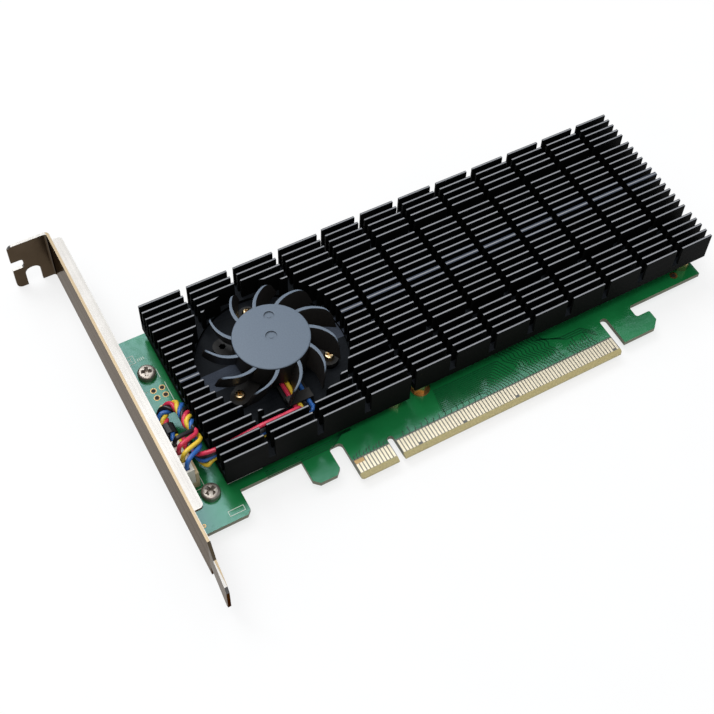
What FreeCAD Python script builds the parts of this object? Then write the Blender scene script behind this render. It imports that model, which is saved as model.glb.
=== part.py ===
"""Low-profile PCI Express x16 adapter card for M.2 drives, with two finned heatsinks and a sunk fan.

Frame, millimetres: the origin is the centre of the key notch, on the mating edge of the edge
connector and on the component face of the board. +X runs along the board away from the bracket,
+Y from the mating edge to the top edge, +Z out of the component face.
"""
import FreeCAD, Part

import math
import os

V = FreeCAD.Vector

# Shared by many pieces
PAST = 1.0  # how far a cutter reaches past what it cuts
SUNK = 0.2  # how far a piece reaches into the one that it is fused to
SAME_POINT = 1e-6
THREAD_CLEARANCE = 0.05
HOLE_CLEARANCE = 0.15
SHANK_SIDES = 6
HEAD_SIDES = 12
HIDDEN_SIDES = 16
TUBE_SIDES = 12

# Edge connector
PIN_PITCH = 1.0
PINS_BEFORE_KEY = 11
PINS_AFTER_KEY = 71
KEY_TO_PIN = 1.5
KEY_WIDTH = 1.9
KEY_DEPTH = 7.6
PIN_TO_TONGUE_END = 0.65
SHORT_PINS = (17, 31, 48, 81)
SHORT_SETBACK = 0.7
CONTACT_WIDTH = 0.7
CONTACT_LENGTH = 4.0
CONTACT_SETBACK = 1.5
CONTACT_THICKNESS = 0.06
BEVEL_ANGLE = 20.0
BEVEL_HEIGHT = 1.2

# Board outline
BOARD_THICKNESS = 1.57
BOARD_LENGTH = 165.5
BOARD_TOP_Y = 68.9
SHOULDER_Y = 12.15
EDGE_TAB_Y = 4.8
EDGE_TAB_RIGHT_X = -41.8
EDGE_TAB_CHAMFER = 1.2
SMALL_TAB_LEFT_X = -24.05
SMALL_TAB_Y = 3.9
SMALL_TAB_WIDTH = 8.05
SMALL_TAB_CHAMFER = 1.6
TONGUE_CORNER = 0.5
END_GAP_WIDTH = 2.45
HOOK_Y = 2.4
HOOK_LENGTH = 12.9
HOOK_CHAMFER = 2.3
HOOK_FOOT_Y = 8.1
HOOK_THROAT = 4.6
INNER_CORNER = 1.2
HOOK_CORNER = 0.5
THROAT_CORNER = 0.8
GAP_ROUNDING = 0.45  # share of a gap's width

# Bracket
BRACKET_TO_BOARD = 0.24
BRACKET_THICKNESS = 0.86
BRACKET_FACE_X = -57.5
BRACKET_WIDTH = 18.42
BRACKET_LOW_Z = -3.8
BRACKET_TAB_TOP_Y = 103.76
BRACKET_TAB_DEPTH = 11.43
BRACKET_TAB_CORNER = 1.8
BRACKET_BEND = 0.7
BRACKET_SHOULDER_Y = -4.0
BRACKET_TAPER_Y = -7.6
BRACKET_TONGUE_Z = 1.0
BRACKET_TONGUE_WIDTH = 10.19
BRACKET_TONGUE_Y = -16.26
BRACKET_TONGUE_LEAN = 1.0
BRACKET_TONGUE_CHAMFER = 1.2
FLANGE_DEPTH = 2.6
FLANGE_LOW_Y = 5.0
FLANGE_HIGH_Y = 100.2
FLANGE_CORNER = 1.2
SCREW_NOTCH_X = -63.5
SCREW_NOTCH_WIDTH = 4.42
SCREW_NOTCH_TOP_Z = 3.2
SCREW_NOTCH_ROUNDING = 0.9  # share of half its width
END_SLOT_DEPTH = 3.4
END_SLOT_LOW_Z = 4.3
END_SLOT_WIDTH = 3.5
END_SLOT_CORNER = 0.8
EAR_REACH = 11.4
EAR_WIDTH = 9.0
EAR_ROUNDING = 0.8  # share of half its width
EAR_Y = (14.7, 55.8)
BRACKET_SCREW_X = -48.85

# Screws of the bracket
BRACKET_SCREW_RADIUS = 1.5
BRACKET_SCREW_HEAD_RADIUS = 2.55
BRACKET_SCREW_HEAD_HEIGHT = 1.8
BRACKET_SCREW_TAIL = 1.2

# Fin comb, the same extrusion for both heatsinks
FIN_THICKNESS = 0.68
CENTRE_FIN_THICKNESS = 1.1
FIN_PITCH = 2.36
WIDE_STEP = 3.42
INNER_FINS = 6
OUTER_FINS = 5
FIN_TOP_Z = 14.0

# Heatsink of the switch chip
CHIP_SINK_LEFT_X = -44.54
CHIP_SINK_Y = 41.05
CHIP_SINK_BOTTOM_Z = 3.0
CHIP_SINK_FLOOR_Z = 6.4
CHIP_SINK_BLOCKS = 4
CHIP_SINK_BLOCK = 12.09
CHIP_SINK_SLOT = 1.99
POCKET_X = -17.87
POCKET_RADIUS = 21.1
POCKET_FLOOR_Z = 5.3

# Heatsink of the drives
DRIVE_SINK_LEFT_X = 11.83
DRIVE_SINK_Y = 41.8
DRIVE_SINK_BOTTOM_Z = 4.25
DRIVE_SINK_FLOOR_Z = 6.7
DRIVE_SINK_BLOCKS = 8
DRIVE_SINK_BLOCK = 10.63
DRIVE_SINK_SLOT = 2.09

# Heatsink mountings
STANDOFF_FLATS = 4.5
STANDOFF_INSET_X = 3.3
STANDOFF_INSET_Y = 2.6
STANDOFF_SCREW_RADIUS = 1.25
STANDOFF_HOLE_DEPTH = 2.2
SCREW_TIP_GAP = 0.2
BACK_HEAD_RADIUS = 2.2
BACK_HEAD_HEIGHT = 1.1

# Fan: still parts
LUG_TOP_Z = 7.4
FRAME_THICKNESS = 1.2
FRAME_RADIUS = 9.8
LUG_RADIUS = 2.7
LUG_ARM_SETBACK = 0.05
LUG_ARM_START = 0.6  # share of the frame's radius
LUG_CIRCLE = 15.4
LUG_ANGLES = (90.0, -30.0, -150.0)
SPARE_LUG_CIRCLE = 13.9
SPARE_LUG_ANGLE = 140.0
FAN_SCREW_RADIUS = 0.8
FAN_SCREW_DEPTH = 3.0
FAN_SCREW_HEAD_RADIUS = 1.45
FAN_SCREW_HEAD_HEIGHT = 1.4
BEARING_TUBE_RADIUS = 3.2
BEARING_RADIUS = 2.3
BEARING_TOP_Z = 13.6
SHAFT_RADIUS = 1.0
SHAFT_RUNNING_GAP = 0.03
SHAFT_END_GAP = 0.4
CIRCUIT_RADIUS = 9.4
CIRCUIT_THICKNESS = 1.4
CIRCUIT_FLAT = 9.0
STATOR_POLES = 4
STATOR_RADIUS = 7.7
STATOR_HUB_RADIUS = 4.4
STATOR_LOW_Z = 9.0
STATOR_HEIGHT = 4.0
POLE_NECK_WIDTH = 2.6
POLE_SHOE_THICKNESS = 1.2
POLE_GAP = 2.0

# Fan: turning parts
HUB_RADIUS = 10.6
HUB_TOP_Z = 16.8
HUB_LOW_Z = 9.5
HUB_WALL = 0.8
HUB_ROOF = 1.3
MAGNET_THICKNESS = 1.3
MAGNET_HEIGHT = 5.2
HUB_SIDES = 32
BLADES = 11
BLADE_TIP_RADIUS = 18.1
BLADE_THICKNESS = 0.62
BLADE_SWEEP = 24.4
BLADE_BOW = 2.4
BLADE_LEAN = 2.3
BLADE_STEPS = 4
BLADE_TOP_Z = 16.4
BLADE_LOW_Z = 9.8
FIRST_BLADE_TIP = 99.0
BLADE_ROOT_OVERLAP = 0.5

# Fan lead
LEAD_WIRES = 4
WIRE_RADIUS = 0.65
WIRE_SPACING = 1.35
WIRE_SIDES = 4
WIRE_BEND_SHARE = 0.45  # share of the shorter run that a bend may take
STRAND_OFFSET = 0.76
CHANNEL_FINS = 2.5
CHANNEL_EXIT = 0.9
CHANNEL_CLIMB = 1.0
CLIP_START_Y = 23.4
CLIP_LENGTH = 3.0
CLIP_WALL = 0.7
CLIP_ROOF_Z = 9.3
CLIP_CLEARANCE = 0.1
SLEEVE_START_Y = 32.3
SLEEVE_LENGTH = 3.0
SLEEVE_RADIUS = 2.3
SLEEVE_CLEARANCE = 0.08

# Plug and header of the fan lead
HEADER_X = -52.75
HEADER_Y = 23.1
HEADER_WIDTH = 5.1
HEADER_LENGTH = 10.2
HEADER_HEIGHT = 3.0
HEADER_PIN_PITCH = 2.54
HEADER_PIN_WIDTH = 0.64
HEADER_PIN_TOP_Z = 7.0
HEADER_WALL = 0.9
HEADER_WALL_LENGTH = 7.0
HEADER_WALL_TOP_Z = 7.2
PLUG_WIDTH = 4.1
PLUG_TOP_Z = 9.5
PLUG_WIRE_DEPTH = 2.0
PIN_CLEARANCE = 0.08
PIN_TIP_GAP = 0.1

# Switch chip
CHIP_WIDTH = 27.0
CHIP_BASE_HEIGHT = 1.2
CHIP_LID_WIDTH = 20.0
CHIP_LID_HEIGHT = 1.0

# Drive bays
DRIVE_PITCH_Y = 26.0
DRIVE_POST_INSET = 8.1
SOCKET_X = 18.6
SOCKET_DEPTH = 6.4
SOCKET_WIDTH = 21.9
SOCKET_HEIGHT = 3.2
SOCKET_SLOT_Z = 1.3
SOCKET_SLOT_HEIGHT = 0.95
SOCKET_SLOT_DEPTH = 4.0
SOCKET_END_WALL = 1.1
DRIVE_POST_RADIUS = 2.25
DRIVE_POST_HEIGHT = 1.3
DRIVE_POST_HOLE_RADIUS = 1.0
DRIVE_POST_HOLE_DEPTH = 1.1
DRIVE_PAD_THICKNESS = 0.5
DRIVE_PAD_LENGTH = 66.0
DRIVE_PAD_WIDTH = 20.0
DRIVE_PAD_SETBACK = 4.0

# Chip capacitors
CAPACITOR = (0.5, 1.0, 0.5)
CAPACITOR_ROW_Y = 21.5
CAPACITOR_ROW_X = 10.5
CAPACITOR_PAIRS = 3
CAPACITOR_PAIR_PITCH = 2.0
CAPACITOR_SPACING = 0.9
BIG_CAPACITOR = (1.6, 0.9, 0.9)
BIG_CAPACITOR_X = (-42.0, -39.6, -37.2, -34.8)
BIG_CAPACITOR_Y = 16.1

# Worked out from the sizes above
BOARD_LEFT_X = BRACKET_FACE_X + BRACKET_THICKNESS + BRACKET_TO_BOARD
BOARD_RIGHT_X = BOARD_LEFT_X + BOARD_LENGTH
BRACKET_INNER_X = BRACKET_FACE_X + BRACKET_THICKNESS
BRACKET_HIGH_Z = BRACKET_LOW_Z + BRACKET_WIDTH
FRAME_LOW_Z = LUG_TOP_Z - FRAME_THICKNESS
WIRE_LIE_Z = LUG_TOP_Z + WIRE_RADIUS
HALF_COMB = (INNER_FINS + OUTER_FINS - 1) * FIN_PITCH + WIDE_STEP
CHANNEL_Y = CHIP_SINK_Y - HALF_COMB + CHANNEL_FINS * FIN_PITCH

PLANES = {
    "XY": lambda u, v, w: V(u, v, w),
    "YZ": lambda u, v, w: V(w, u, v),
    "XZ": lambda u, v, w: V(u, w, v),
}


def contact_x(pin):
    """Centre of an edge contact, counted from 1 at the bracket end."""
    if pin <= PINS_BEFORE_KEY:
        return -KEY_TO_PIN - (PINS_BEFORE_KEY - pin) * PIN_PITCH
    return KEY_TO_PIN + (pin - PINS_BEFORE_KEY - 1) * PIN_PITCH


TONGUE_LEFT_X = contact_x(1) - PIN_TO_TONGUE_END
TONGUE_RIGHT_X = contact_x(PINS_BEFORE_KEY + PINS_AFTER_KEY) + PIN_TO_TONGUE_END
HOOK_LEFT_X = TONGUE_RIGHT_X + END_GAP_WIDTH
HOOK_RIGHT_X = HOOK_LEFT_X + HOOK_LENGTH


def rounded_face(corners, plane="XY", level=0.0):
    """Flat face from corners (u, v) or (u, v, radius), joined by lines and tangent arcs."""
    place = PLANES[plane]
    stretches = []
    count = len(corners)
    for index, corner in enumerate(corners):
        here = V(corner[0], corner[1], 0)
        if len(corner) == 2:
            stretches.append((here, None, here))
            continue
        before = V(corners[index - 1][0], corners[index - 1][1], 0)
        after = V(corners[(index + 1) % count][0], corners[(index + 1) % count][1], 0)
        stretches.append(tangent_arc(before, here, after, corner[2]))
    edges = []
    for index, (start, middle, end) in enumerate(stretches):
        if middle is not None:
            arc = [place(p.x, p.y, level) for p in (start, middle, end)]
            edges.append(Part.Arc(*arc).toShape())
        following = stretches[(index + 1) % count][0]
        if end.distanceToPoint(following) > SAME_POINT:
            ends = [place(p.x, p.y, level) for p in (end, following)]
            edges.append(Part.makeLine(*ends))
    return Part.Face(Part.Wire(edges))


def tangent_arc(before, corner, after, radius):
    """Start, middle and end of the arc of this radius that rounds a corner, in a plane or in space."""
    towards = (before - corner).normalize()
    away = (after - corner).normalize()
    half_angle = towards.getAngle(away) / 2
    reach = radius / math.tan(half_angle)
    inward = (towards + away).normalize()
    centre = corner + inward * (radius / math.sin(half_angle))
    return corner + towards * reach, centre - inward * radius, corner + away * reach


def prism(corners, start, end, plane="XY"):
    """Solid of a rounded outline, from one level of its plane's normal to another."""
    normal = PLANES[plane](0, 0, 1)
    return rounded_face(corners, plane, start).extrude(normal * (end - start))


def block(x0, x1, y0, y1, z0, z1):
    return Part.makeBox(x1 - x0, y1 - y0, z1 - z0, V(x0, y0, z0))


def centred_block(x, y, width, length, z0, z1):
    return block(x - width / 2, x + width / 2, y - length / 2, y + length / 2, z0, z1)


def cylinder(x, y, z0, z1, radius):
    return Part.makeCylinder(radius, z1 - z0, V(x, y, z0))


def sided_bar(x, y, z0, z1, radius, sides):
    """Bar with flat sides whose corners lie on the radius: repeated or hidden rounds have few faces."""
    return prism([polar(x, y, radius, 360 * (number + 0.5) / sides) for number in range(sides)], z0, z1)


def sided_hole(x, y, z0, z1, radius, sides):
    """Flat-sided hole that clears a bar of the radius all round."""
    return sided_bar(x, y, z0, z1, radius / math.cos(math.pi / sides), sides)


def polar(x, y, radius, degrees):
    return x + radius * math.cos(math.radians(degrees)), y + radius * math.sin(math.radians(degrees))


def pan_screw(x, y, seat_z, head_radius, head_height, shank_radius, shank_length, side=1):
    """Flat pan-head screw whose head sits on a face; side is 1 with the head above it, -1 below it."""
    head_z = sorted((seat_z, seat_z + side * head_height))
    head = sided_bar(x, y, *head_z, head_radius, HEAD_SIDES)
    shank_z = sorted((seat_z + side * SUNK, seat_z - side * shank_length))
    return head.fuse(sided_bar(x, y, *shank_z, shank_radius, SHANK_SIDES))


def save(node, shape):
    shape.exportStep("parts/" + node + ".step")
    print(node, "volume", round(shape.Volume, 2), "solids", len(shape.Solids), "valid", shape.isValid())


# Board


def board_outline():
    return [
        (BOARD_LEFT_X, EDGE_TAB_Y),
        (EDGE_TAB_RIGHT_X - EDGE_TAB_CHAMFER, EDGE_TAB_Y),
        (EDGE_TAB_RIGHT_X, EDGE_TAB_Y + EDGE_TAB_CHAMFER),
        (EDGE_TAB_RIGHT_X, SHOULDER_Y),
        (SMALL_TAB_LEFT_X, SHOULDER_Y),
        (SMALL_TAB_LEFT_X, SMALL_TAB_Y + SMALL_TAB_CHAMFER),
        (SMALL_TAB_LEFT_X + SMALL_TAB_CHAMFER, SMALL_TAB_Y),
        (SMALL_TAB_LEFT_X + SMALL_TAB_WIDTH - SMALL_TAB_CHAMFER, SMALL_TAB_Y),
        (SMALL_TAB_LEFT_X + SMALL_TAB_WIDTH, SMALL_TAB_Y + SMALL_TAB_CHAMFER),
        (SMALL_TAB_LEFT_X + SMALL_TAB_WIDTH, SHOULDER_Y, INNER_CORNER),
        (TONGUE_LEFT_X, SHOULDER_Y, INNER_CORNER),
        (TONGUE_LEFT_X, TONGUE_CORNER),
        (TONGUE_LEFT_X + TONGUE_CORNER, 0),
        (-KEY_WIDTH / 2, 0),
        (-KEY_WIDTH / 2, KEY_DEPTH, GAP_ROUNDING * KEY_WIDTH),
        (KEY_WIDTH / 2, KEY_DEPTH, GAP_ROUNDING * KEY_WIDTH),
        (KEY_WIDTH / 2, 0),
        (TONGUE_RIGHT_X - TONGUE_CORNER, 0),
        (TONGUE_RIGHT_X, TONGUE_CORNER),
        (TONGUE_RIGHT_X, SHOULDER_Y, GAP_ROUNDING * END_GAP_WIDTH),
        (HOOK_LEFT_X, SHOULDER_Y, GAP_ROUNDING * END_GAP_WIDTH),
        (HOOK_LEFT_X, HOOK_Y),
        (HOOK_RIGHT_X - HOOK_CHAMFER, HOOK_Y),
        (HOOK_RIGHT_X, HOOK_Y + HOOK_CHAMFER),
        (HOOK_RIGHT_X, HOOK_FOOT_Y, HOOK_CORNER),
        (HOOK_RIGHT_X - HOOK_THROAT, HOOK_FOOT_Y, THROAT_CORNER),
        (HOOK_RIGHT_X - HOOK_THROAT, SHOULDER_Y, INNER_CORNER),
        (BOARD_RIGHT_X, SHOULDER_Y),
        (BOARD_RIGHT_X, BOARD_TOP_Y),
        (BOARD_LEFT_X, BOARD_TOP_Y),
    ]


def bevel_wedge(face_z, inward):
    """Wedge that bevels the tongue's mating edge from one face of the board."""
    depth = BEVEL_HEIGHT * math.tan(math.radians(BEVEL_ANGLE))
    corners = [(0, face_z), (BEVEL_HEIGHT, face_z), (0, face_z + inward * depth)]
    return prism(corners, TONGUE_LEFT_X, TONGUE_RIGHT_X, "YZ")


def board_holes():
    """Every hole through the board, as (x, y, radius)."""
    holes = [(BRACKET_SCREW_X, y, BRACKET_SCREW_RADIUS + HOLE_CLEARANCE) for y in EAR_Y]
    holes += [(x, y, STANDOFF_SCREW_RADIUS + HOLE_CLEARANCE) for x, y, top in standoff_places()]
    return holes


def circuit_board():
    board = prism(board_outline(), -BOARD_THICKNESS, 0)
    board = board.cut(bevel_wedge(0, -1)).cut(bevel_wedge(-BOARD_THICKNESS, 1))
    low_z = -BOARD_THICKNESS - PAST
    drills = [sided_hole(x, y, low_z, PAST, radius, SHANK_SIDES) for x, y, radius in board_holes()]
    return board.cut(Part.makeCompound(drills)).removeSplitter()


def edge_contacts(face_z, outward):
    """Row of gold contacts on one face of the tongue; the presence pins are shorter."""
    contacts = []
    for pin in range(1, PINS_BEFORE_KEY + PINS_AFTER_KEY + 1):
        x = contact_x(pin)
        low_y = CONTACT_SETBACK + (SHORT_SETBACK if pin in SHORT_PINS else 0)
        z0, z1 = sorted((face_z, face_z + outward * CONTACT_THICKNESS))
        half = CONTACT_WIDTH / 2
        contacts.append(block(x - half, x + half, low_y, CONTACT_SETBACK + CONTACT_LENGTH, z0, z1))
    return Part.makeCompound(contacts)


# Bracket


def bracket():
    low_z, high_z = BRACKET_LOW_Z, BRACKET_HIGH_Z
    tip_x = BRACKET_FACE_X - BRACKET_TAB_DEPTH
    under_y = BRACKET_TAB_TOP_Y - BRACKET_THICKNESS
    section = [
        (tip_x, under_y),
        (BRACKET_FACE_X, under_y, BRACKET_BEND),
        (BRACKET_FACE_X, BRACKET_SHOULDER_Y),
        (BRACKET_FACE_X - BRACKET_TONGUE_LEAN, BRACKET_TONGUE_Y),
        (BRACKET_INNER_X - BRACKET_TONGUE_LEAN, BRACKET_TONGUE_Y),
        (BRACKET_INNER_X, BRACKET_SHOULDER_Y),
        (BRACKET_INNER_X, BRACKET_TAB_TOP_Y, BRACKET_BEND + BRACKET_THICKNESS),
        (tip_x, BRACKET_TAB_TOP_Y),
    ]
    strip = prism(section, low_z, high_z)
    flange = prism([
        (BRACKET_FACE_X + 0.5 * BRACKET_THICKNESS, FLANGE_LOW_Y),
        (BRACKET_INNER_X + FLANGE_DEPTH, FLANGE_LOW_Y, FLANGE_CORNER),
        (BRACKET_INNER_X + FLANGE_DEPTH, FLANGE_HIGH_Y, FLANGE_CORNER),
        (BRACKET_FACE_X + 0.5 * BRACKET_THICKNESS, FLANGE_HIGH_Y),
    ], high_z - BRACKET_THICKNESS, high_z)
    ears = [bracket_ear(y) for y in EAR_Y]
    folded = strip.fuse([flange] + ears)
    return folded.cut(bracket_foot_trims() + bracket_tab_cuts()).removeSplitter()


def bracket_ear(y):
    """Ear bent under the board, with the tapped hole of a board screw."""
    top_z = -BOARD_THICKNESS
    half = EAR_WIDTH / 2
    reach_x = BRACKET_INNER_X + EAR_REACH
    ear = prism([
        (BRACKET_INNER_X - 0.5 * BRACKET_THICKNESS, y - half),
        (reach_x, y - half, EAR_ROUNDING * half),
        (reach_x, y + half, EAR_ROUNDING * half),
        (BRACKET_INNER_X - 0.5 * BRACKET_THICKNESS, y + half),
    ], top_z - BRACKET_THICKNESS, top_z)
    radius = BRACKET_SCREW_RADIUS + THREAD_CLEARANCE
    low_z = top_z - BRACKET_THICKNESS - PAST
    return ear.cut(sided_hole(BRACKET_SCREW_X, y, low_z, top_z + PAST, radius, SHANK_SIDES))


def bracket_foot_trims():
    """What is cut away beside the lower tongue, and its two corner chamfers."""
    start = BRACKET_FACE_X - 2 * BRACKET_TONGUE_LEAN - PAST
    end = BRACKET_INNER_X + PAST
    low, high = BRACKET_LOW_Z - PAST, BRACKET_HIGH_Z + PAST
    tongue_z0, tongue_z1 = BRACKET_TONGUE_Z, BRACKET_TONGUE_Z + BRACKET_TONGUE_WIDTH
    tip, chamfer = BRACKET_TONGUE_Y, BRACKET_TONGUE_CHAMFER
    solder_side = [
        (BRACKET_SHOULDER_Y, low),
        (BRACKET_SHOULDER_Y, tongue_z0),
        (tip + chamfer, tongue_z0),
        (tip, tongue_z0 + chamfer),
        (tip - PAST, tongue_z0 + chamfer),
        (tip - PAST, low),
    ]
    component_side = [
        (BRACKET_SHOULDER_Y, high),
        (BRACKET_SHOULDER_Y, BRACKET_HIGH_Z),
        (BRACKET_TAPER_Y, tongue_z1),
        (tip + chamfer, tongue_z1),
        (tip, tongue_z1 - chamfer),
        (tip - PAST, tongue_z1 - chamfer),
        (tip - PAST, high),
    ]
    return [prism(side, start, end, "YZ") for side in (solder_side, component_side)]


def bracket_tab_cuts():
    """Screw notch, end slot and rounded outer corners of the top tab."""
    start = BRACKET_TAB_TOP_Y - BRACKET_THICKNESS - PAST
    end = BRACKET_TAB_TOP_Y + PAST
    half = SCREW_NOTCH_WIDTH / 2
    notch_end = SCREW_NOTCH_ROUNDING * half
    tip_x = BRACKET_FACE_X - BRACKET_TAB_DEPTH
    slot_x = tip_x + END_SLOT_DEPTH
    notch = prism([
        (SCREW_NOTCH_X - half, BRACKET_LOW_Z - PAST),
        (SCREW_NOTCH_X + half, BRACKET_LOW_Z - PAST),
        (SCREW_NOTCH_X + half, SCREW_NOTCH_TOP_Z, notch_end),
        (SCREW_NOTCH_X - half, SCREW_NOTCH_TOP_Z, notch_end),
    ], start, end, "XZ")
    slot = prism([
        (tip_x - PAST, END_SLOT_LOW_Z),
        (slot_x, END_SLOT_LOW_Z, END_SLOT_CORNER),
        (slot_x, END_SLOT_LOW_Z + END_SLOT_WIDTH, END_SLOT_CORNER),
        (tip_x - PAST, END_SLOT_LOW_Z + END_SLOT_WIDTH),
    ], start, end, "XZ")
    corner = BRACKET_TAB_CORNER
    corners = []
    for edge_z, inward in ((BRACKET_LOW_Z, 1), (BRACKET_HIGH_Z, -1)):
        side_z = sorted((edge_z - inward * PAST, edge_z + inward * corner))
        square = block(tip_x - PAST, tip_x + corner, start, end, *side_z)
        centre = V(tip_x + corner, start - PAST, edge_z + inward * corner)
        round_off = Part.makeCylinder(corner, end - start + 2 * PAST, centre, V(0, 1, 0))
        corners.append(square.cut(round_off))
    return [notch, slot] + corners


def bracket_screws():
    length = BOARD_THICKNESS + BRACKET_THICKNESS + BRACKET_SCREW_TAIL
    return Part.makeCompound([
        pan_screw(BRACKET_SCREW_X, y, 0, BRACKET_SCREW_HEAD_RADIUS, BRACKET_SCREW_HEAD_HEIGHT,
                  BRACKET_SCREW_RADIUS, length)
        for y in EAR_Y
    ])


# Heatsinks


def fin_centres():
    """Fin places across the comb, from its centre, with the thickness of each."""
    fins = [(0.0, CENTRE_FIN_THICKNESS)]
    for side in (-1, 1):
        place = 0.0
        for number in range(1, INNER_FINS + OUTER_FINS + 1):
            place += WIDE_STEP if number == INNER_FINS + 1 else FIN_PITCH
            fins.append((side * place, FIN_THICKNESS))
    return sorted(fins)


def fin_comb(centre_y, bottom_z, floor_z, start_x, end_x):
    """Extruded heatsink bar: a base with every fin standing on it."""
    fins = fin_centres()
    first, last = fins[0], fins[-1]
    corners = [(centre_y + last[0] + last[1] / 2, bottom_z)]
    for place, thickness in reversed(fins):
        right, left = centre_y + place + thickness / 2, centre_y + place - thickness / 2
        if place != last[0]:
            corners.append((right, floor_z))
        corners.append((right, FIN_TOP_Z))
        corners.append((left, FIN_TOP_Z))
        if place != first[0]:
            corners.append((left, floor_z))
    corners.append((centre_y + first[0] - first[1] / 2, bottom_z))
    return prism(corners, start_x, end_x, "YZ")


def cross_slots(left_x, centre_y, count, block_length, slot, floor_z):
    """Saw cuts across the fins that split them into blocks."""
    reach = HALF_COMB + FIN_THICKNESS + PAST
    slots = []
    for number in range(1, count):
        slot_x = left_x + number * (block_length + slot) - slot / 2
        slots.append(centred_block(slot_x, centre_y, slot, 2 * reach, floor_z, FIN_TOP_Z + PAST))
    return slots


CHIP_SINK_LENGTH = CHIP_SINK_BLOCKS * (CHIP_SINK_BLOCK + CHIP_SINK_SLOT) - CHIP_SINK_SLOT
DRIVE_SINK_LENGTH = DRIVE_SINK_BLOCKS * (DRIVE_SINK_BLOCK + DRIVE_SINK_SLOT) - DRIVE_SINK_SLOT


def chip_sink():
    left_x, floor_z = CHIP_SINK_LEFT_X, CHIP_SINK_FLOOR_Z
    bar = fin_comb(CHIP_SINK_Y, CHIP_SINK_BOTTOM_Z, floor_z, left_x, left_x + CHIP_SINK_LENGTH)
    slots = cross_slots(left_x, CHIP_SINK_Y, CHIP_SINK_BLOCKS, CHIP_SINK_BLOCK, CHIP_SINK_SLOT, floor_z)
    pocket = cylinder(POCKET_X, CHIP_SINK_Y, POCKET_FLOOR_Z, FIN_TOP_Z + PAST, POCKET_RADIUS)
    bar = bar.cut(slots + [pocket])
    bosses = []
    drills = []
    drill_radius = FAN_SCREW_RADIUS + THREAD_CLEARANCE
    drill_z = LUG_TOP_Z - FAN_SCREW_DEPTH - SCREW_TIP_GAP
    for x, y in lug_places():
        bosses.append(sided_bar(x, y, POCKET_FLOOR_Z - SUNK, FRAME_LOW_Z, LUG_RADIUS, TUBE_SIDES))
        drills.append(sided_hole(x, y, drill_z, FRAME_LOW_Z + PAST, drill_radius, SHANK_SIDES))
    return bar.fuse(bosses).cut(drills).removeSplitter()


def drive_sink():
    left_x, floor_z = DRIVE_SINK_LEFT_X, DRIVE_SINK_FLOOR_Z
    bar = fin_comb(DRIVE_SINK_Y, DRIVE_SINK_BOTTOM_Z, floor_z, left_x, left_x + DRIVE_SINK_LENGTH)
    slots = cross_slots(left_x, DRIVE_SINK_Y, DRIVE_SINK_BLOCKS, DRIVE_SINK_BLOCK, DRIVE_SINK_SLOT, floor_z)
    return bar.cut(slots).removeSplitter()


def standoff_places():
    """Heatsink standoffs as (x, y, top z): two across the chip's heatsink, four under the drives' one."""
    half_width = fin_centres()[-1][0] - STANDOFF_INSET_Y
    right_limit = min(DRIVE_SINK_LEFT_X + DRIVE_SINK_LENGTH, BOARD_RIGHT_X)
    spans = (
        (CHIP_SINK_LEFT_X, CHIP_SINK_LEFT_X + CHIP_SINK_LENGTH, CHIP_SINK_Y, CHIP_SINK_BOTTOM_Z),
        (DRIVE_SINK_LEFT_X, right_limit, DRIVE_SINK_Y, DRIVE_SINK_BOTTOM_Z),
    )
    places = []
    for left, right, centre_y, top in spans:
        for x in (left + STANDOFF_INSET_X, right - STANDOFF_INSET_X):
            places += [(x, centre_y - half_width, top), (x, centre_y + half_width, top)]
    return places[1:3] + places[4:]


def standoffs():
    posts = []
    drill_radius = STANDOFF_SCREW_RADIUS + THREAD_CLEARANCE
    for x, y, top in standoff_places():
        drill = sided_hole(x, y, -PAST, STANDOFF_HOLE_DEPTH, drill_radius, SHANK_SIDES)
        posts.append(sided_bar(x, y, 0, top, STANDOFF_FLATS / math.sqrt(3), 6).cut(drill))
    return Part.makeCompound(posts)


def standoff_screws():
    head = (BACK_HEAD_RADIUS, BACK_HEAD_HEIGHT)
    length = BOARD_THICKNESS + STANDOFF_HOLE_DEPTH - SCREW_TIP_GAP
    return Part.makeCompound([
        pan_screw(x, y, -BOARD_THICKNESS, *head, STANDOFF_SCREW_RADIUS, length, -1)
        for x, y, top in standoff_places()
    ])


# Fan


def lug_places():
    places = [polar(POCKET_X, CHIP_SINK_Y, LUG_CIRCLE, angle) for angle in LUG_ANGLES]
    places.append(polar(POCKET_X, CHIP_SINK_Y, SPARE_LUG_CIRCLE, SPARE_LUG_ANGLE))
    return places


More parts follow.
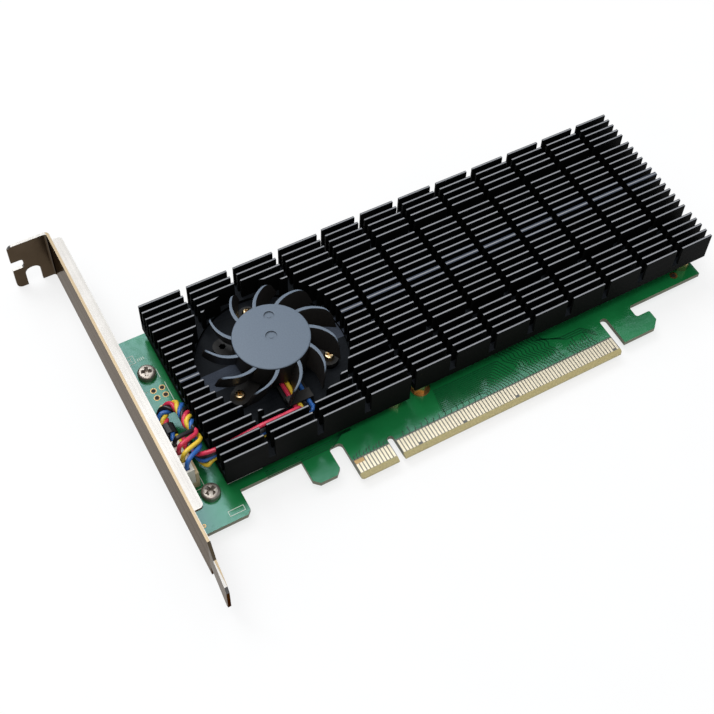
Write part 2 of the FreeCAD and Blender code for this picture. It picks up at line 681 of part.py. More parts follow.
def fan_frame():
    """Base disc with four screw lugs, an arm under the lead and the tube that holds the bearing."""
    x, y = POCKET_X, CHIP_SINK_Y
    low_z, top_z = FRAME_LOW_Z, LUG_TOP_Z
    drill_radius = FAN_SCREW_RADIUS + THREAD_CLEARANCE
    pieces = []
    drills = []
    for lug_x, lug_y in lug_places():
        along = V(lug_x - x, lug_y - y, 0).normalize()
        across = V(-along.y, along.x, 0) * (LUG_RADIUS - LUG_ARM_SETBACK)
        inner = V(x, y, 0) + along * LUG_ARM_START * FRAME_RADIUS
        outer = V(lug_x, lug_y, 0)
        corners = [inner - across, outer - across, outer + across, inner + across]
        pieces.append(prism([(p.x, p.y) for p in corners], low_z, top_z))
        pieces.append(sided_bar(lug_x, lug_y, low_z, top_z, LUG_RADIUS, HIDDEN_SIDES))
        drills.append(sided_hole(lug_x, lug_y, low_z - PAST, top_z + PAST, drill_radius, SHANK_SIDES))
    half_clip = clip_half_width()
    pieces.append(block(x - half_clip, x + half_clip, CLIP_START_Y, y, low_z, top_z))
    pieces.append(sided_bar(x, y, top_z - SUNK, BEARING_TOP_Z, BEARING_TUBE_RADIUS, TUBE_SIDES))
    disc = sided_bar(x, y, low_z, top_z, FRAME_RADIUS, HIDDEN_SIDES)
    drills.append(sided_bar(x, y, top_z, BEARING_TOP_Z + PAST, BEARING_RADIUS, TUBE_SIDES))
    return disc.fuse(pieces).cut(drills).removeSplitter()


def fan_bearing():
    x, y = POCKET_X, CHIP_SINK_Y
    sleeve = sided_bar(x, y, LUG_TOP_Z, BEARING_TOP_Z, BEARING_RADIUS, TUBE_SIDES)
    bore = SHAFT_RADIUS + SHAFT_RUNNING_GAP
    return sleeve.cut(sided_hole(x, y, LUG_TOP_Z - PAST, BEARING_TOP_Z + PAST, bore, TUBE_SIDES))


def fan_circuit():
    """Round circuit board under the stator, cut flat where the four wires are soldered on."""
    x, y = POCKET_X, CHIP_SINK_Y
    low_z, top_z = LUG_TOP_Z, LUG_TOP_Z + CIRCUIT_THICKNESS
    reach = CIRCUIT_RADIUS + PAST
    disc = sided_bar(x, y, low_z, top_z, CIRCUIT_RADIUS, HIDDEN_SIDES)
    flat = block(x - reach, x + reach, y - reach, y - CIRCUIT_FLAT, low_z - PAST, top_z + PAST)
    hole = sided_hole(x, y, low_z - PAST, top_z + PAST, BEARING_TUBE_RADIUS, TUBE_SIDES)
    return disc.cut([flat, hole])


def fan_stator():
    """Stator stack: a ring with four necks that carry curved pole shoes."""
    x, y = POCKET_X, CHIP_SINK_Y
    low_z, top_z = STATOR_LOW_Z, STATOR_LOW_Z + STATOR_HEIGHT
    below, above = low_z - PAST, top_z + PAST
    shoe_inside = STATOR_RADIUS - POLE_SHOE_THICKNESS
    ring = sided_bar(x, y, low_z, top_z, STATOR_HUB_RADIUS, TUBE_SIDES)
    shoes = sided_bar(x, y, low_z, top_z, STATOR_RADIUS, HIDDEN_SIDES)
    shoes = shoes.cut(sided_bar(x, y, below, above, shoe_inside, HIDDEN_SIDES))
    necks = []
    gaps = []
    for number in range(STATOR_POLES):
        angle = number * 360 / STATOR_POLES
        neck = block(0, shoe_inside + SUNK, -POLE_NECK_WIDTH / 2, POLE_NECK_WIDTH / 2, low_z, top_z)
        gap_x = (STATOR_HUB_RADIUS + PAST, STATOR_RADIUS + PAST)
        gap = block(*gap_x, -POLE_GAP / 2, POLE_GAP / 2, below, above)
        neck.rotate(V(0, 0, 0), V(0, 0, 1), angle)
        gap.rotate(V(0, 0, 0), V(0, 0, 1), angle + 180 / STATOR_POLES)
        necks.append(neck.translate(V(x, y, 0)))
        gaps.append(gap.translate(V(x, y, 0)))
    bore = sided_hole(x, y, below, above, BEARING_TUBE_RADIUS, TUBE_SIDES)
    return ring.fuse([shoes] + necks).cut(gaps + [bore]).removeSplitter()


def fan_screws():
    head = (FAN_SCREW_HEAD_RADIUS, FAN_SCREW_HEAD_HEIGHT)
    return Part.makeCompound([
        pan_screw(x, y, LUG_TOP_Z, *head, FAN_SCREW_RADIUS, FAN_SCREW_DEPTH)
        for x, y in lug_places()[:len(LUG_ANGLES)]
    ])


def fan_shaft():
    low_z, top_z = LUG_TOP_Z + SHAFT_END_GAP, HUB_TOP_Z - HUB_ROOF
    return sided_bar(POCKET_X, CHIP_SINK_Y, low_z, top_z, SHAFT_RADIUS, TUBE_SIDES)


def magnet_ring():
    x, y = POCKET_X, CHIP_SINK_Y
    low_z, top_z = HUB_LOW_Z, HUB_LOW_Z + MAGNET_HEIGHT
    outer = HUB_RADIUS - HUB_WALL
    ring = sided_bar(x, y, low_z, top_z, outer, HUB_SIDES)
    return ring.cut(sided_bar(x, y, low_z - PAST, top_z + PAST, outer - MAGNET_THICKNESS, HIDDEN_SIDES))


def blade_section():
    """Plan of the blade whose tip is at angle zero: swept back from its root, bowed, of even thickness."""
    root = HUB_RADIUS - BLADE_ROOT_OVERLAP
    near, far = [], []
    for number in range(BLADE_STEPS + 1):
        share = number / BLADE_STEPS
        radius = root + share * (BLADE_TIP_RADIUS - root)
        degrees = BLADE_SWEEP * (1 - share) + BLADE_BOW * math.sin(math.pi * share)
        half = math.degrees(0.5 * BLADE_THICKNESS / radius) / math.cos(math.radians(BLADE_SWEEP))
        near.append(polar(0, 0, radius, degrees - half))
        far.append(polar(0, 0, radius, degrees + half))
    return near + far[::-1]


def fan_impeller():
    """Hub cup with swept blades; each blade leans back from its upper edge to its lower one."""
    hub = sided_bar(0, 0, HUB_LOW_Z, HUB_TOP_Z, HUB_RADIUS, HUB_SIDES)
    height = BLADE_TOP_Z - BLADE_LOW_Z
    lean_x, lean_y = polar(0, 0, BLADE_LEAN, 0.5 * BLADE_SWEEP - 90)
    blade = rounded_face(blade_section(), "XY", BLADE_TOP_Z).extrude(V(lean_x, lean_y, -height))
    blades = []
    for number in range(BLADES):
        copy = blade.copy()
        copy.rotate(V(0, 0, 0), V(0, 0, 1), FIRST_BLADE_TIP - number * 360 / BLADES)
        blades.append(copy)
    hollow = sided_bar(0, 0, HUB_LOW_Z - PAST, HUB_TOP_Z - HUB_ROOF, HUB_RADIUS - HUB_WALL, HUB_SIDES)
    impeller = hub.fuse(blades).cut(hollow).removeSplitter()
    return impeller.translate(V(POCKET_X, CHIP_SINK_Y, 0))


# Fan lead


def clip_half_width():
    return 0.5 * (LEAD_WIRES - 1) * WIRE_SPACING + WIRE_RADIUS + CLIP_CLEARANCE + CLIP_WALL


def cable_clip():
    """Small bridge over the four wires where they leave the fan."""
    half = clip_half_width()
    start, end = CLIP_START_Y, CLIP_START_Y + CLIP_LENGTH
    bridge = block(POCKET_X - half, POCKET_X + half, start, end, LUG_TOP_Z, CLIP_ROOF_Z)
    inside = half - CLIP_WALL
    tunnel_x = (POCKET_X - inside, POCKET_X + inside)
    tunnel_z = (LUG_TOP_Z - PAST, WIRE_LIE_Z + WIRE_RADIUS + CLIP_CLEARANCE)
    tunnel = block(*tunnel_x, start - PAST, end + PAST, *tunnel_z)
    return bridge.cut(tunnel)


def header_pin_ys():
    first = HEADER_Y + 0.5 * (LEAD_WIRES - 1) * HEADER_PIN_PITCH
    return [first - number * HEADER_PIN_PITCH for number in range(LEAD_WIRES)]


# The lead's middle line from the channel to the plug: beside the plug, through the sleeve, round the
# loop and back over itself. Chosen by hand, each point (x, y, z).
LEAD_LINE = (
    (-48.7, 25.2, 5.2),
    (-48.8, 28.6, 4.9),
    (-51.8, 30.7, 4.9),
    (-52.0, 38.15, 5.2),
    (-50.35, 39.74, 5.9),
    (-48.06, 39.66, 6.7),
    (-46.53, 37.96, 7.5),
    (-46.9, 31.4, 10.6),
)

# Each wire: place in the lead (side, height), its level in the fin channel, the point where it turns
# beside the plug and the points of its way into the plug. Pins are counted from the top edge down.
WIRES = {
    "black": ((1, 1), 9.8, (-48.0, 20.8, 9.2), 0, ((-47.8, 27.8, 13.0),), 13.0),
    "red": ((-1, 1), 11.15, (-49.4, 20.9, 10.3), 1, ((-46.4, 25.8, 13.2),), 13.0),
    "yellow": ((1, -1), 7.1, (-48.0, 20.5, 6.4), 2, ((-47.6, 23.4, 11.7),), 12.1),
    "blue": ((-1, -1), 8.45, (-49.4, 20.6, 7.5), 3, ((-46.2, 22.0, 12.1),), 12.1),
}
# Order of the wires across the clip, from the bracket side.
CLIP_ORDER = ("yellow", "blue", "black", "red")


def strand_line(side, height):
    """The lead's line moved sideways in plan and up, for one wire of the two by two bundle."""
    shifted = []
    last = len(LEAD_LINE) - 1
    for index, (x, y, z) in enumerate(LEAD_LINE):
        here = V(x, y, 0)
        normals = []
        for first, second in ((index - 1, index), (index, index + 1)):
            if first < 0 or second > last:
                continue
            run = V(*LEAD_LINE[second]) - V(*LEAD_LINE[first])
            normals.append(V(run.y, -run.x, 0).normalize())
        mitre = V(0, 0, 0)
        for normal in normals:
            mitre = mitre + normal
        mitre.normalize()
        here = here + mitre * (side * STRAND_OFFSET / mitre.dot(normals[0]))
        shifted.append((here.x, here.y, z + height * STRAND_OFFSET))
    return shifted


def wire_route(colour):
    place, channel_z, turn, pin, bends, over_z = WIRES[colour]
    clip_x = POCKET_X + (CLIP_ORDER.index(colour) - 0.5 * (LEAD_WIRES - 1)) * WIRE_SPACING
    pin_y = header_pin_ys()[pin]
    route = [
        (clip_x, CHIP_SINK_Y - CIRCUIT_FLAT, WIRE_LIE_Z),
        (clip_x, CLIP_START_Y - CHANNEL_CLIMB, WIRE_LIE_Z),
        (clip_x, CHANNEL_Y, channel_z),
        (CHIP_SINK_LEFT_X - CHANNEL_EXIT, CHANNEL_Y, channel_z),
        turn,
    ]
    route += strand_line(*place)
    route += list(bends)
    route += [(HEADER_X, pin_y, over_z), (HEADER_X, pin_y, PLUG_TOP_Z - PLUG_WIRE_DEPTH)]
    return route


def tube(route, radius, label):
    """Plain flat-sided tube of straight runs joined by tangent arcs, each as large as its runs allow."""
    points = [V(*point) for point in route]
    first = (points[1] - points[0]).normalize()
    turns = [360 * (number + 0.5) / WIRE_SIDES for number in range(WIRE_SIDES)]
    corners = [V(*polar(0, 0, radius, degrees), 0) for degrees in turns]
    section = Part.Face(Part.makePolygon(corners + corners[:1]))
    section.Placement = FreeCAD.Placement(points[0], FreeCAD.Rotation(V(0, 0, 1), first))
    lengths = []
    bend_radii = []
    stretches = []
    start = points[0]
    for before, corner, after in zip(points, points[1:], points[2:]):
        towards = (corner - before).normalize()
        away = (after - corner).normalize()
        turn = towards.getAngle(away)
        reach = WIRE_BEND_SHARE * min(before.distanceToPoint(corner), after.distanceToPoint(corner))
        bend = reach / math.tan(turn / 2)
        bend_radii.append(round(bend, 1))
        run = corner - towards * reach - start
        stretches.append(section.extrude(run))
        section.translate(run)
        start = start + run
        axis = towards.cross(away).normalize()
        centre = start + axis.cross(towards) * bend
        stretches.append(section.revolve(centre, axis, math.degrees(turn)))
        section.rotate(centre, axis, math.degrees(turn))
        lengths += [run.Length, bend * turn]
        start = corner + away * reach
    stretches.append(section.extrude(points[-1] - start))
    lengths.append(start.distanceToPoint(points[-1]))
    whole = stretches[0].fuse(stretches[1:]).removeSplitter()
    print(label, "length", round(sum(lengths), 1), "bend radii", bend_radii,
          "volume ratio", round(whole.Volume / (section.Area * sum(lengths)), 4))
    return whole


def fan_wire(colour):
    return tube(wire_route(colour), WIRE_RADIUS, "wire " + colour)


def cable_sleeve():
    """Black sleeve on the straight stretch of the bundle before its loop."""
    before, after = V(*LEAD_LINE[2]), V(*LEAD_LINE[3])
    along = (after - before).normalize()
    start = before + along * ((SLEEVE_START_Y - before.y) / along.y)
    bore = math.sqrt(2) * STRAND_OFFSET + WIRE_RADIUS + SLEEVE_CLEARANCE
    sleeve = sided_bar(0, 0, 0, SLEEVE_LENGTH, SLEEVE_RADIUS, TUBE_SIDES)
    sleeve = sleeve.cut(sided_hole(0, 0, -PAST, SLEEVE_LENGTH + PAST, bore, TUBE_SIDES))
    sleeve.Placement = FreeCAD.Placement(start, FreeCAD.Rotation(V(0, 0, 1), along))
    return sleeve


def fan_header():
    x, y = HEADER_X, HEADER_Y
    half_width, half_length = HEADER_WIDTH / 2, HEADER_LENGTH / 2
    base = block(x - half_width, x + half_width, y - half_length, y + half_length, 0, HEADER_HEIGHT)
    wall_x = (x + half_width - HEADER_WALL, x + half_width)
    wall_y = (y - half_length, y - half_length + HEADER_WALL_LENGTH)
    wall = block(*wall_x, *wall_y, HEADER_HEIGHT - SUNK, HEADER_WALL_TOP_Z)
    hole = HEADER_PIN_WIDTH + 2 * PIN_CLEARANCE
    holes = [centred_block(x, pin_y, hole, hole, -PAST, HEADER_HEIGHT + PAST) for pin_y in header_pin_ys()]
    return base.fuse(wall).cut(holes).removeSplitter()


def header_pins():
    width = HEADER_PIN_WIDTH
    return Part.makeCompound([
        centred_block(HEADER_X, y, width, width, 0, HEADER_PIN_TOP_Z) for y in header_pin_ys()
    ])


def fan_plug():
    """Four-way crimp housing: open pin holes below, square wire entries above."""
    right = HEADER_X + HEADER_WIDTH / 2 - HEADER_WALL - PIN_CLEARANCE
    half_length = HEADER_LENGTH / 2
    body = block(right - PLUG_WIDTH, right, HEADER_Y - half_length, HEADER_Y + half_length,
                 HEADER_HEIGHT, PLUG_TOP_Z)
    hole = HEADER_PIN_WIDTH + 2 * PIN_CLEARANCE
    entry = 2 * (WIRE_RADIUS + PIN_CLEARANCE)
    hole_z = (HEADER_HEIGHT - PAST, HEADER_PIN_TOP_Z + PIN_TIP_GAP)
    entry_z = (PLUG_TOP_Z - PLUG_WIRE_DEPTH, PLUG_TOP_Z + PAST)
    holes = []
    for y in header_pin_ys():
        holes.append(centred_block(HEADER_X, y, hole, hole, *hole_z))
        holes.append(centred_block(HEADER_X, y, entry, entry, *entry_z))
    return body.cut(holes)


# Chip, drive bays and small parts


def chip_centre():
    return CHIP_SINK_LEFT_X + CHIP_SINK_LENGTH / 2, CHIP_SINK_Y


def switch_chip():
    x, y = chip_centre()
    base = centred_block(x, y, CHIP_WIDTH, CHIP_WIDTH, 0, CHIP_BASE_HEIGHT)
    lid_z = (CHIP_BASE_HEIGHT, CHIP_BASE_HEIGHT + CHIP_LID_HEIGHT)
    lid = centred_block(x, y, CHIP_LID_WIDTH, CHIP_LID_WIDTH, *lid_z)
    return base.fuse(lid)


def chip_pad():
    x, y = chip_centre()
    low_z = CHIP_BASE_HEIGHT + CHIP_LID_HEIGHT
    return centred_block(x, y, CHIP_LID_WIDTH, CHIP_LID_WIDTH, low_z, CHIP_SINK_BOTTOM_Z)


def drive_ys():
    return [DRIVE_SINK_Y - DRIVE_PITCH_Y / 2, DRIVE_SINK_Y + DRIVE_PITCH_Y / 2]


def drive_socket(y):
    """Edge socket of one drive, open towards +X."""
    half = SOCKET_WIDTH / 2
    open_x = SOCKET_X + SOCKET_DEPTH
    body = block(SOCKET_X, open_x, y - half, y + half, 0, SOCKET_HEIGHT)
    slot_half = half - SOCKET_END_WALL
    slot_z = (SOCKET_SLOT_Z, SOCKET_SLOT_Z + SOCKET_SLOT_HEIGHT)
    return body.cut(block(open_x - SOCKET_SLOT_DEPTH, open_x + PAST, y - slot_half, y + slot_half, *slot_z))


def drive_posts():
    """Threaded posts under the far ends of the drives."""
    x = BOARD_RIGHT_X - DRIVE_POST_INSET
    hole_z = (DRIVE_POST_HEIGHT - DRIVE_POST_HOLE_DEPTH, DRIVE_POST_HEIGHT + PAST)
    posts = []
    for y in drive_ys():
        post = sided_bar(x, y, 0, DRIVE_POST_HEIGHT, DRIVE_POST_RADIUS, TUBE_SIDES)
        posts.append(post.cut(sided_bar(x, y, *hole_z, DRIVE_POST_HOLE_RADIUS, TUBE_SIDES)))
    return Part.makeCompound(posts)


def drive_pads():
    """Thermal pads that hang under the heatsink, over the drives' places."""
    x = SOCKET_X + SOCKET_DEPTH + DRIVE_PAD_SETBACK + DRIVE_PAD_LENGTH / 2
    pad_z = (DRIVE_SINK_BOTTOM_Z - DRIVE_PAD_THICKNESS, DRIVE_SINK_BOTTOM_Z)
    return Part.makeCompound([
        centred_block(x, y, DRIVE_PAD_LENGTH, DRIVE_PAD_WIDTH, *pad_z) for y in drive_ys()
    ])


def coupling_capacitors():
    width, length, height = CAPACITOR
    chips = []
    for pair in range(CAPACITOR_PAIRS):
        for side in (-0.5, 0.5):
            x = CAPACITOR_ROW_X + pair * CAPACITOR_PAIR_PITCH + side * CAPACITOR_SPACING
            chips.append(centred_block(x, CAPACITOR_ROW_Y, width, length, 0, height))
    return Part.makeCompound(chips)


def supply_capacitors():
    length, width, height = BIG_CAPACITOR
    return Part.makeCompound([
        centred_block(x, BIG_CAPACITOR_Y, length, width, 0, height) for x in BIG_CAPACITOR_X
    ])


def main():
    os.makedirs("parts", exist_ok=True)
    save("pcb", circuit_board())
    save("edge_contacts_component_side", edge_contacts(0, 1))
    save("edge_contacts_solder_side", edge_contacts(-BOARD_THICKNESS, -1))
    save("io_bracket", bracket())
    save("bracket_screws", bracket_screws())
    save("controller_heatsink", chip_sink())
    save("drive_heatsink", drive_sink())
    save("heatsink_standoffs", standoffs())
    save("heatsink_screws", standoff_screws())
    save("fan_frame", fan_frame())
    save("fan_bearing", fan_bearing())
    save("fan_circuit_board", fan_circuit())
    save("fan_stator", fan_stator())
    save("fan_screws", fan_screws())
    save("fan_shaft", fan_shaft())
    save("fan_magnet_ring", magnet_ring())
    save("fan_impeller", fan_impeller())
    save("cable_clip", cable_clip())
    for colour in WIRES:
        save("fan_wire_" + colour, fan_wire(colour))
    save("cable_sleeve", cable_sleeve())
    save("fan_plug", fan_plug())
    save("fan_header", fan_header())
    save("fan_header_pins", header_pins())
    save("switch_chip", switch_chip())
    save("chip_thermal_pad", chip_pad())
    for number, y in enumerate(drive_ys(), 1):
        save("m2_socket_%d" % number, drive_socket(y))
    save("m2_standoffs", drive_posts())
    save("drive_thermal_pads", drive_pads())
    save("coupling_capacitors", coupling_capacitors())
    save("supply_capacitors", supply_capacitors())


main()
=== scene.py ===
"""Looks of a PCI Express adapter card with two finned heatsinks and a sunk fan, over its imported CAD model.

Lengths are millimetres in the model's frame, and become metres where a mesh, light or camera is made.
"""

import math

import bmesh
import bpy
from mathutils import Matrix, Vector


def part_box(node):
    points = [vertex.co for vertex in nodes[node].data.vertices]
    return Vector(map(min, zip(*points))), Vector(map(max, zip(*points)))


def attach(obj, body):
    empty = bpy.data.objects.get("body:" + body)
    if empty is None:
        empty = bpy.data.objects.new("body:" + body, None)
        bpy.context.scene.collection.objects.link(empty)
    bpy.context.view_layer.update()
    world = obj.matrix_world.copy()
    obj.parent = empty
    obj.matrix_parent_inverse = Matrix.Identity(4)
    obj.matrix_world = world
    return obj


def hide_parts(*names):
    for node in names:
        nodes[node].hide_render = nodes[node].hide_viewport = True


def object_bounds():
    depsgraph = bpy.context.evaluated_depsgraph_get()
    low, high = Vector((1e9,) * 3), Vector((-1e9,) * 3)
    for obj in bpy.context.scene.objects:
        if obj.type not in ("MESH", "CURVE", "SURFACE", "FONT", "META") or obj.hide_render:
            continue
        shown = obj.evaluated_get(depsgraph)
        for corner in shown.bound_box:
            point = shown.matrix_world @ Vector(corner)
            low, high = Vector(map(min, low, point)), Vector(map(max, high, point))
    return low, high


MM = 0.001

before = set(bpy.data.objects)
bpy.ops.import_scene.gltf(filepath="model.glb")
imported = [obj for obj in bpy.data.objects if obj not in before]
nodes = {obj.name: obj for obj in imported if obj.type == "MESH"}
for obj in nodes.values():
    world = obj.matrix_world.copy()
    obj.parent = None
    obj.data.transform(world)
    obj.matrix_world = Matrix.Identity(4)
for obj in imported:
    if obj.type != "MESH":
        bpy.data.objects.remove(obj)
cad_box = [list(corner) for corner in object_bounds()]
scene = bpy.context.scene
scene.view_settings.view_transform = "Standard"


def corners_mm(node):
    """Lowest and highest corner of a CAD node, in millimetres."""
    return tuple(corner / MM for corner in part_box(node))


def middle_mm(node):
    low, high = corners_mm(node)
    return (low + high) / 2


# Places taken from the frame, and margins from them

TONGUE_MARGINS = (1.0, 0.9)
BRACKET_STANDS_OFF = 1.1
BEND_WIDTH = 0.75

FAN_CENTRE = middle_mm("fan_shaft")
HUB_TOP = corners_mm("fan_impeller")[1].z
CONTACT_LOW, CONTACT_HIGH = corners_mm("edge_contacts_component_side")
TONGUE_X = (CONTACT_LOW.x - TONGUE_MARGINS[0], CONTACT_HIGH.x + TONGUE_MARGINS[1])
FIN_TOP_Z = corners_mm("drive_heatsink")[1].z
BETWEEN_SINKS_X = 0.5 * (corners_mm("controller_heatsink")[1].x + corners_mm("drive_heatsink")[0].x)
BRACKET_FACE_X = corners_mm("pcb")[0].x - BRACKET_STANDS_OFF
BEND_X = BRACKET_FACE_X + BEND_WIDTH


# Camera

CAMERA_PLACE = Vector((-98.21, -138.70, 304.57))
CAMERA_FORWARD = Vector((0.33934, 0.50068, -0.79635)).normalized()
CAMERA_RIGHT = Vector((0.86418, -0.50032, 0.05368)).normalized()
CAMERA_LENS = 65.68
CAMERA_SHIFT = (-0.0692, -0.1169)


def add_camera():
    data = bpy.data.cameras.new("camera")
    data.lens = CAMERA_LENS
    data.shift_x, data.shift_y = CAMERA_SHIFT
    data.clip_start, data.clip_end = 0.01, 10.0
    camera = bpy.data.objects.new("camera", data)
    scene.collection.objects.link(camera)
    up = CAMERA_RIGHT.cross(CAMERA_FORWARD)
    turn = Matrix((CAMERA_RIGHT, up, -CAMERA_FORWARD)).transposed()
    camera.matrix_world = Matrix.Translation(CAMERA_PLACE * MM) @ turn.to_4x4()
    scene.camera = camera


# Light: a large window behind the card, a narrow strip that glances off the board's front edge, and a fill

OBJECT_MIDDLE = Vector((20.0, 40.0, 0.0))
LIGHTS = (
    ("window", (-180.0, 660.0, 1000.0), (680.0, 760.0), 7.6, (0.95, 0.98, 1.0)),
    ("strip", (470.0, 455.0, 1000.0), (520.0, 60.0), 0.55, (1.0, 1.0, 1.0)),
    ("fill", (-150.0, -150.0, 1200.0), (700.0, 700.0), 5.2, (1.0, 0.98, 0.95)),
)
WORLD_COLOUR = (0.92, 0.95, 1.0, 1.0)
WORLD_STRENGTH = 0.40
FLOOR_SIZE = 6000.0
FLOOR_DROP = 0.02
FLOOR_GLOW = 0.75


def add_area_light(name, place, size, strength, colour):
    data = bpy.data.lights.new(name, "AREA")
    data.shape = "RECTANGLE"
    data.size, data.size_y = (length * MM for length in size)
    data.energy = strength
    data.color = colour
    light = bpy.data.objects.new(name, data)
    scene.collection.objects.link(light)
    light.location = Vector(place) * MM
    light.rotation_mode = "QUATERNION"
    light.rotation_quaternion = (OBJECT_MIDDLE - Vector(place)).to_track_quat("-Z", "Y")


def add_world():
    world = bpy.data.worlds.new("studio")
    scene.world = world
    world.use_nodes = True
    background = world.node_tree.nodes["Background"]
    background.inputs["Color"].default_value = WORLD_COLOUR
    background.inputs["Strength"].default_value = WORLD_STRENGTH


def add_floor():
    """Floor just under the lowest point of the card."""
    z = cad_box[0][2] / MM - FLOOR_DROP
    corners = [(x * FLOOR_SIZE, y * FLOOR_SIZE, z) for x, y in ((-1, -1), (1, -1), (1, 1), (-1, 1))]
    floor = mesh_object("floor", corners, [(0, 1, 2, 3)], material_floor())


# Materials


class Shader:
    """A node material, with a short call for each kind of node that the materials here use."""

    def __init__(self, name, **sockets):
        self.material = bpy.data.materials.new(name)
        self.material.use_nodes = True
        self.nodes = self.material.node_tree.nodes
        self.links = self.material.node_tree.links
        self.surface = self.nodes["Principled BSDF"]
        for socket, value in sockets.items():
            self.set(self.surface, socket.replace("_", " "), value)
        self.coordinates = self.nodes.new("ShaderNodeTexCoord").outputs["Object"]

    def set(self, node, socket, value):
        target = node.inputs[socket]
        if isinstance(value, bpy.types.NodeSocket):
            self.links.new(value, target)
        elif isinstance(value, (tuple, list)) and len(value) == 3 and target.type == "RGBA":
            target.default_value = (*value, 1.0)
        else:
            target.default_value = value

    def scaled(self, scale):
        """Object coordinates times a scale for each axis, so that noise can be drawn out along one."""
        node = self.nodes.new("ShaderNodeVectorMath")
        node.operation = "MULTIPLY"
        self.set(node, 0, self.coordinates)
        self.set(node, 1, scale)
        return node.outputs["Vector"]

    def maths(self, operation, first, second=0.0, clamp=False):
        node = self.nodes.new("ShaderNodeMath")
        node.operation = operation
        node.use_clamp = clamp
        self.set(node, 0, first)
        self.set(node, 1, second)
        return node.outputs["Value"]

    def axis(self, vector, name):
        node = self.nodes.new("ShaderNodeSeparateXYZ")
        self.set(node, "Vector", vector)
        return node.outputs[name]

    def both(self, first, second):
        """Product of two masks."""
        return self.maths("MULTIPLY", first, second)

    def past(self, axis, level):
        """1 where the place on an axis is past a level in millimetres, 0 elsewhere."""
        return self.maths("GREATER_THAN", self.axis(self.coordinates, axis), level * MM)

    def before(self, axis, level):
        """1 where the place on an axis is before a level in millimetres, 0 elsewhere."""
        return self.maths("LESS_THAN", self.axis(self.coordinates, axis), level * MM)

    def away(self, axis, level):
        """Distance along an axis from a level in millimetres."""
        return self.maths("ABSOLUTE", self.maths("SUBTRACT", self.axis(self.coordinates, axis), level * MM))

    def facing(self, axis):
        return self.axis(self.nodes.new("ShaderNodeNewGeometry").outputs["True Normal"], axis)

    def noise(self, vector, scale, detail=3.0, roughness=0.5):
        node = self.nodes.new("ShaderNodeTexNoise")
        self.set(node, "Vector", vector)
        self.set(node, "Scale", scale)
        self.set(node, "Detail", detail)
        self.set(node, "Roughness", roughness)
        return node.outputs["Fac"]

    def ramp(self, factor, *stops):
        """Colour ramp from (place, colour) stops."""
        node = self.nodes.new("ShaderNodeValToRGB")
        elements = node.color_ramp.elements
        while len(elements) < len(stops):
            elements.new(0.5)
        for element, (place, colour) in zip(elements, stops):
            element.position = place
            element.color = (*colour, 1.0) if isinstance(colour, tuple) else (colour, colour, colour, 1.0)
        self.set(node, "Fac", factor)
        return node.outputs["Color"]

    def spread(self, factor, low, high, to_low=0.0, to_high=1.0):
        """Maps a range of the factor to another range."""
        node = self.nodes.new("ShaderNodeMapRange")
        self.set(node, "Value", factor)
        self.set(node, "From Min", low)
        self.set(node, "From Max", high)
        self.set(node, "To Min", to_low)
        self.set(node, "To Max", to_high)
        return node.outputs["Result"]

    def mix(self, factor, first, second):
        node = self.nodes.new("ShaderNodeMix")
        node.data_type = "RGBA"
        self.set(node, 0, factor)
        self.set(node, 6, first)
        self.set(node, 7, second)
        return node.outputs[2]

    def bump(self, height, distance, strength=1.0):
        node = self.nodes.new("ShaderNodeBump")
        self.set(node, "Height", height)
        node.inputs["Distance"].default_value = distance * MM
        node.inputs["Strength"].default_value = strength
        self.set(self.surface, "Normal", node.outputs["Normal"])


def noisy(name, colour, spread, roughness, grain, bump=0.0, **sockets):
    """Material whose colour and roughness vary a little, over grains of a size in millimetres."""
    shader = Shader(name, **sockets)
    pattern = shader.noise(shader.coordinates, 1 / (grain * MM))
    darker = tuple(value * (1 - spread) for value in colour)
    lighter = tuple(min(1.0, value * (1 + spread)) for value in colour)
    shader.set(shader.surface, "Base Color", shader.ramp(pattern, (0.3, darker), (0.7, lighter)))
    shader.set(shader.surface, "Roughness",
               shader.spread(pattern, 0.3, 0.7, roughness * 0.85, min(1.0, roughness * 1.15)))
    if bump:
        shader.bump(pattern, bump)
    return shader.material


def material_floor():
    """Pale paper, near white to the camera and in reflections, which keeps a soft shadow."""
    shader = Shader("floor_paper", Roughness=0.9)
    shader.set(shader.surface, "Specular IOR Level", 0.0)
    pattern = shader.noise(shader.coordinates, 40.0)
    shader.set(shader.surface, "Base Color", shader.ramp(pattern, (0.3, 0.93), (0.7, 0.95)))
    path = shader.nodes.new("ShaderNodeLightPath").outputs
    seen = shader.maths("MAXIMUM", path["Is Camera Ray"],
                        shader.maths("MAXIMUM", path["Is Glossy Ray"], path["Is Transmission Ray"]))
    glow = shader.nodes.new("ShaderNodeEmission")
    blend = shader.nodes.new("ShaderNodeMixShader")
    shader.set(blend, 0, shader.maths("MULTIPLY", seen, FLOOR_GLOW))
    shader.set(blend, 1, shader.surface.outputs["BSDF"])
    shader.set(blend, 2, glow.outputs["Emission"])
    shader.set(shader.nodes["Material Output"], "Surface", blend.outputs["Shader"])
    return shader.material


MASK_MARGIN = 0.45
BEVEL_MARGIN = 0.05


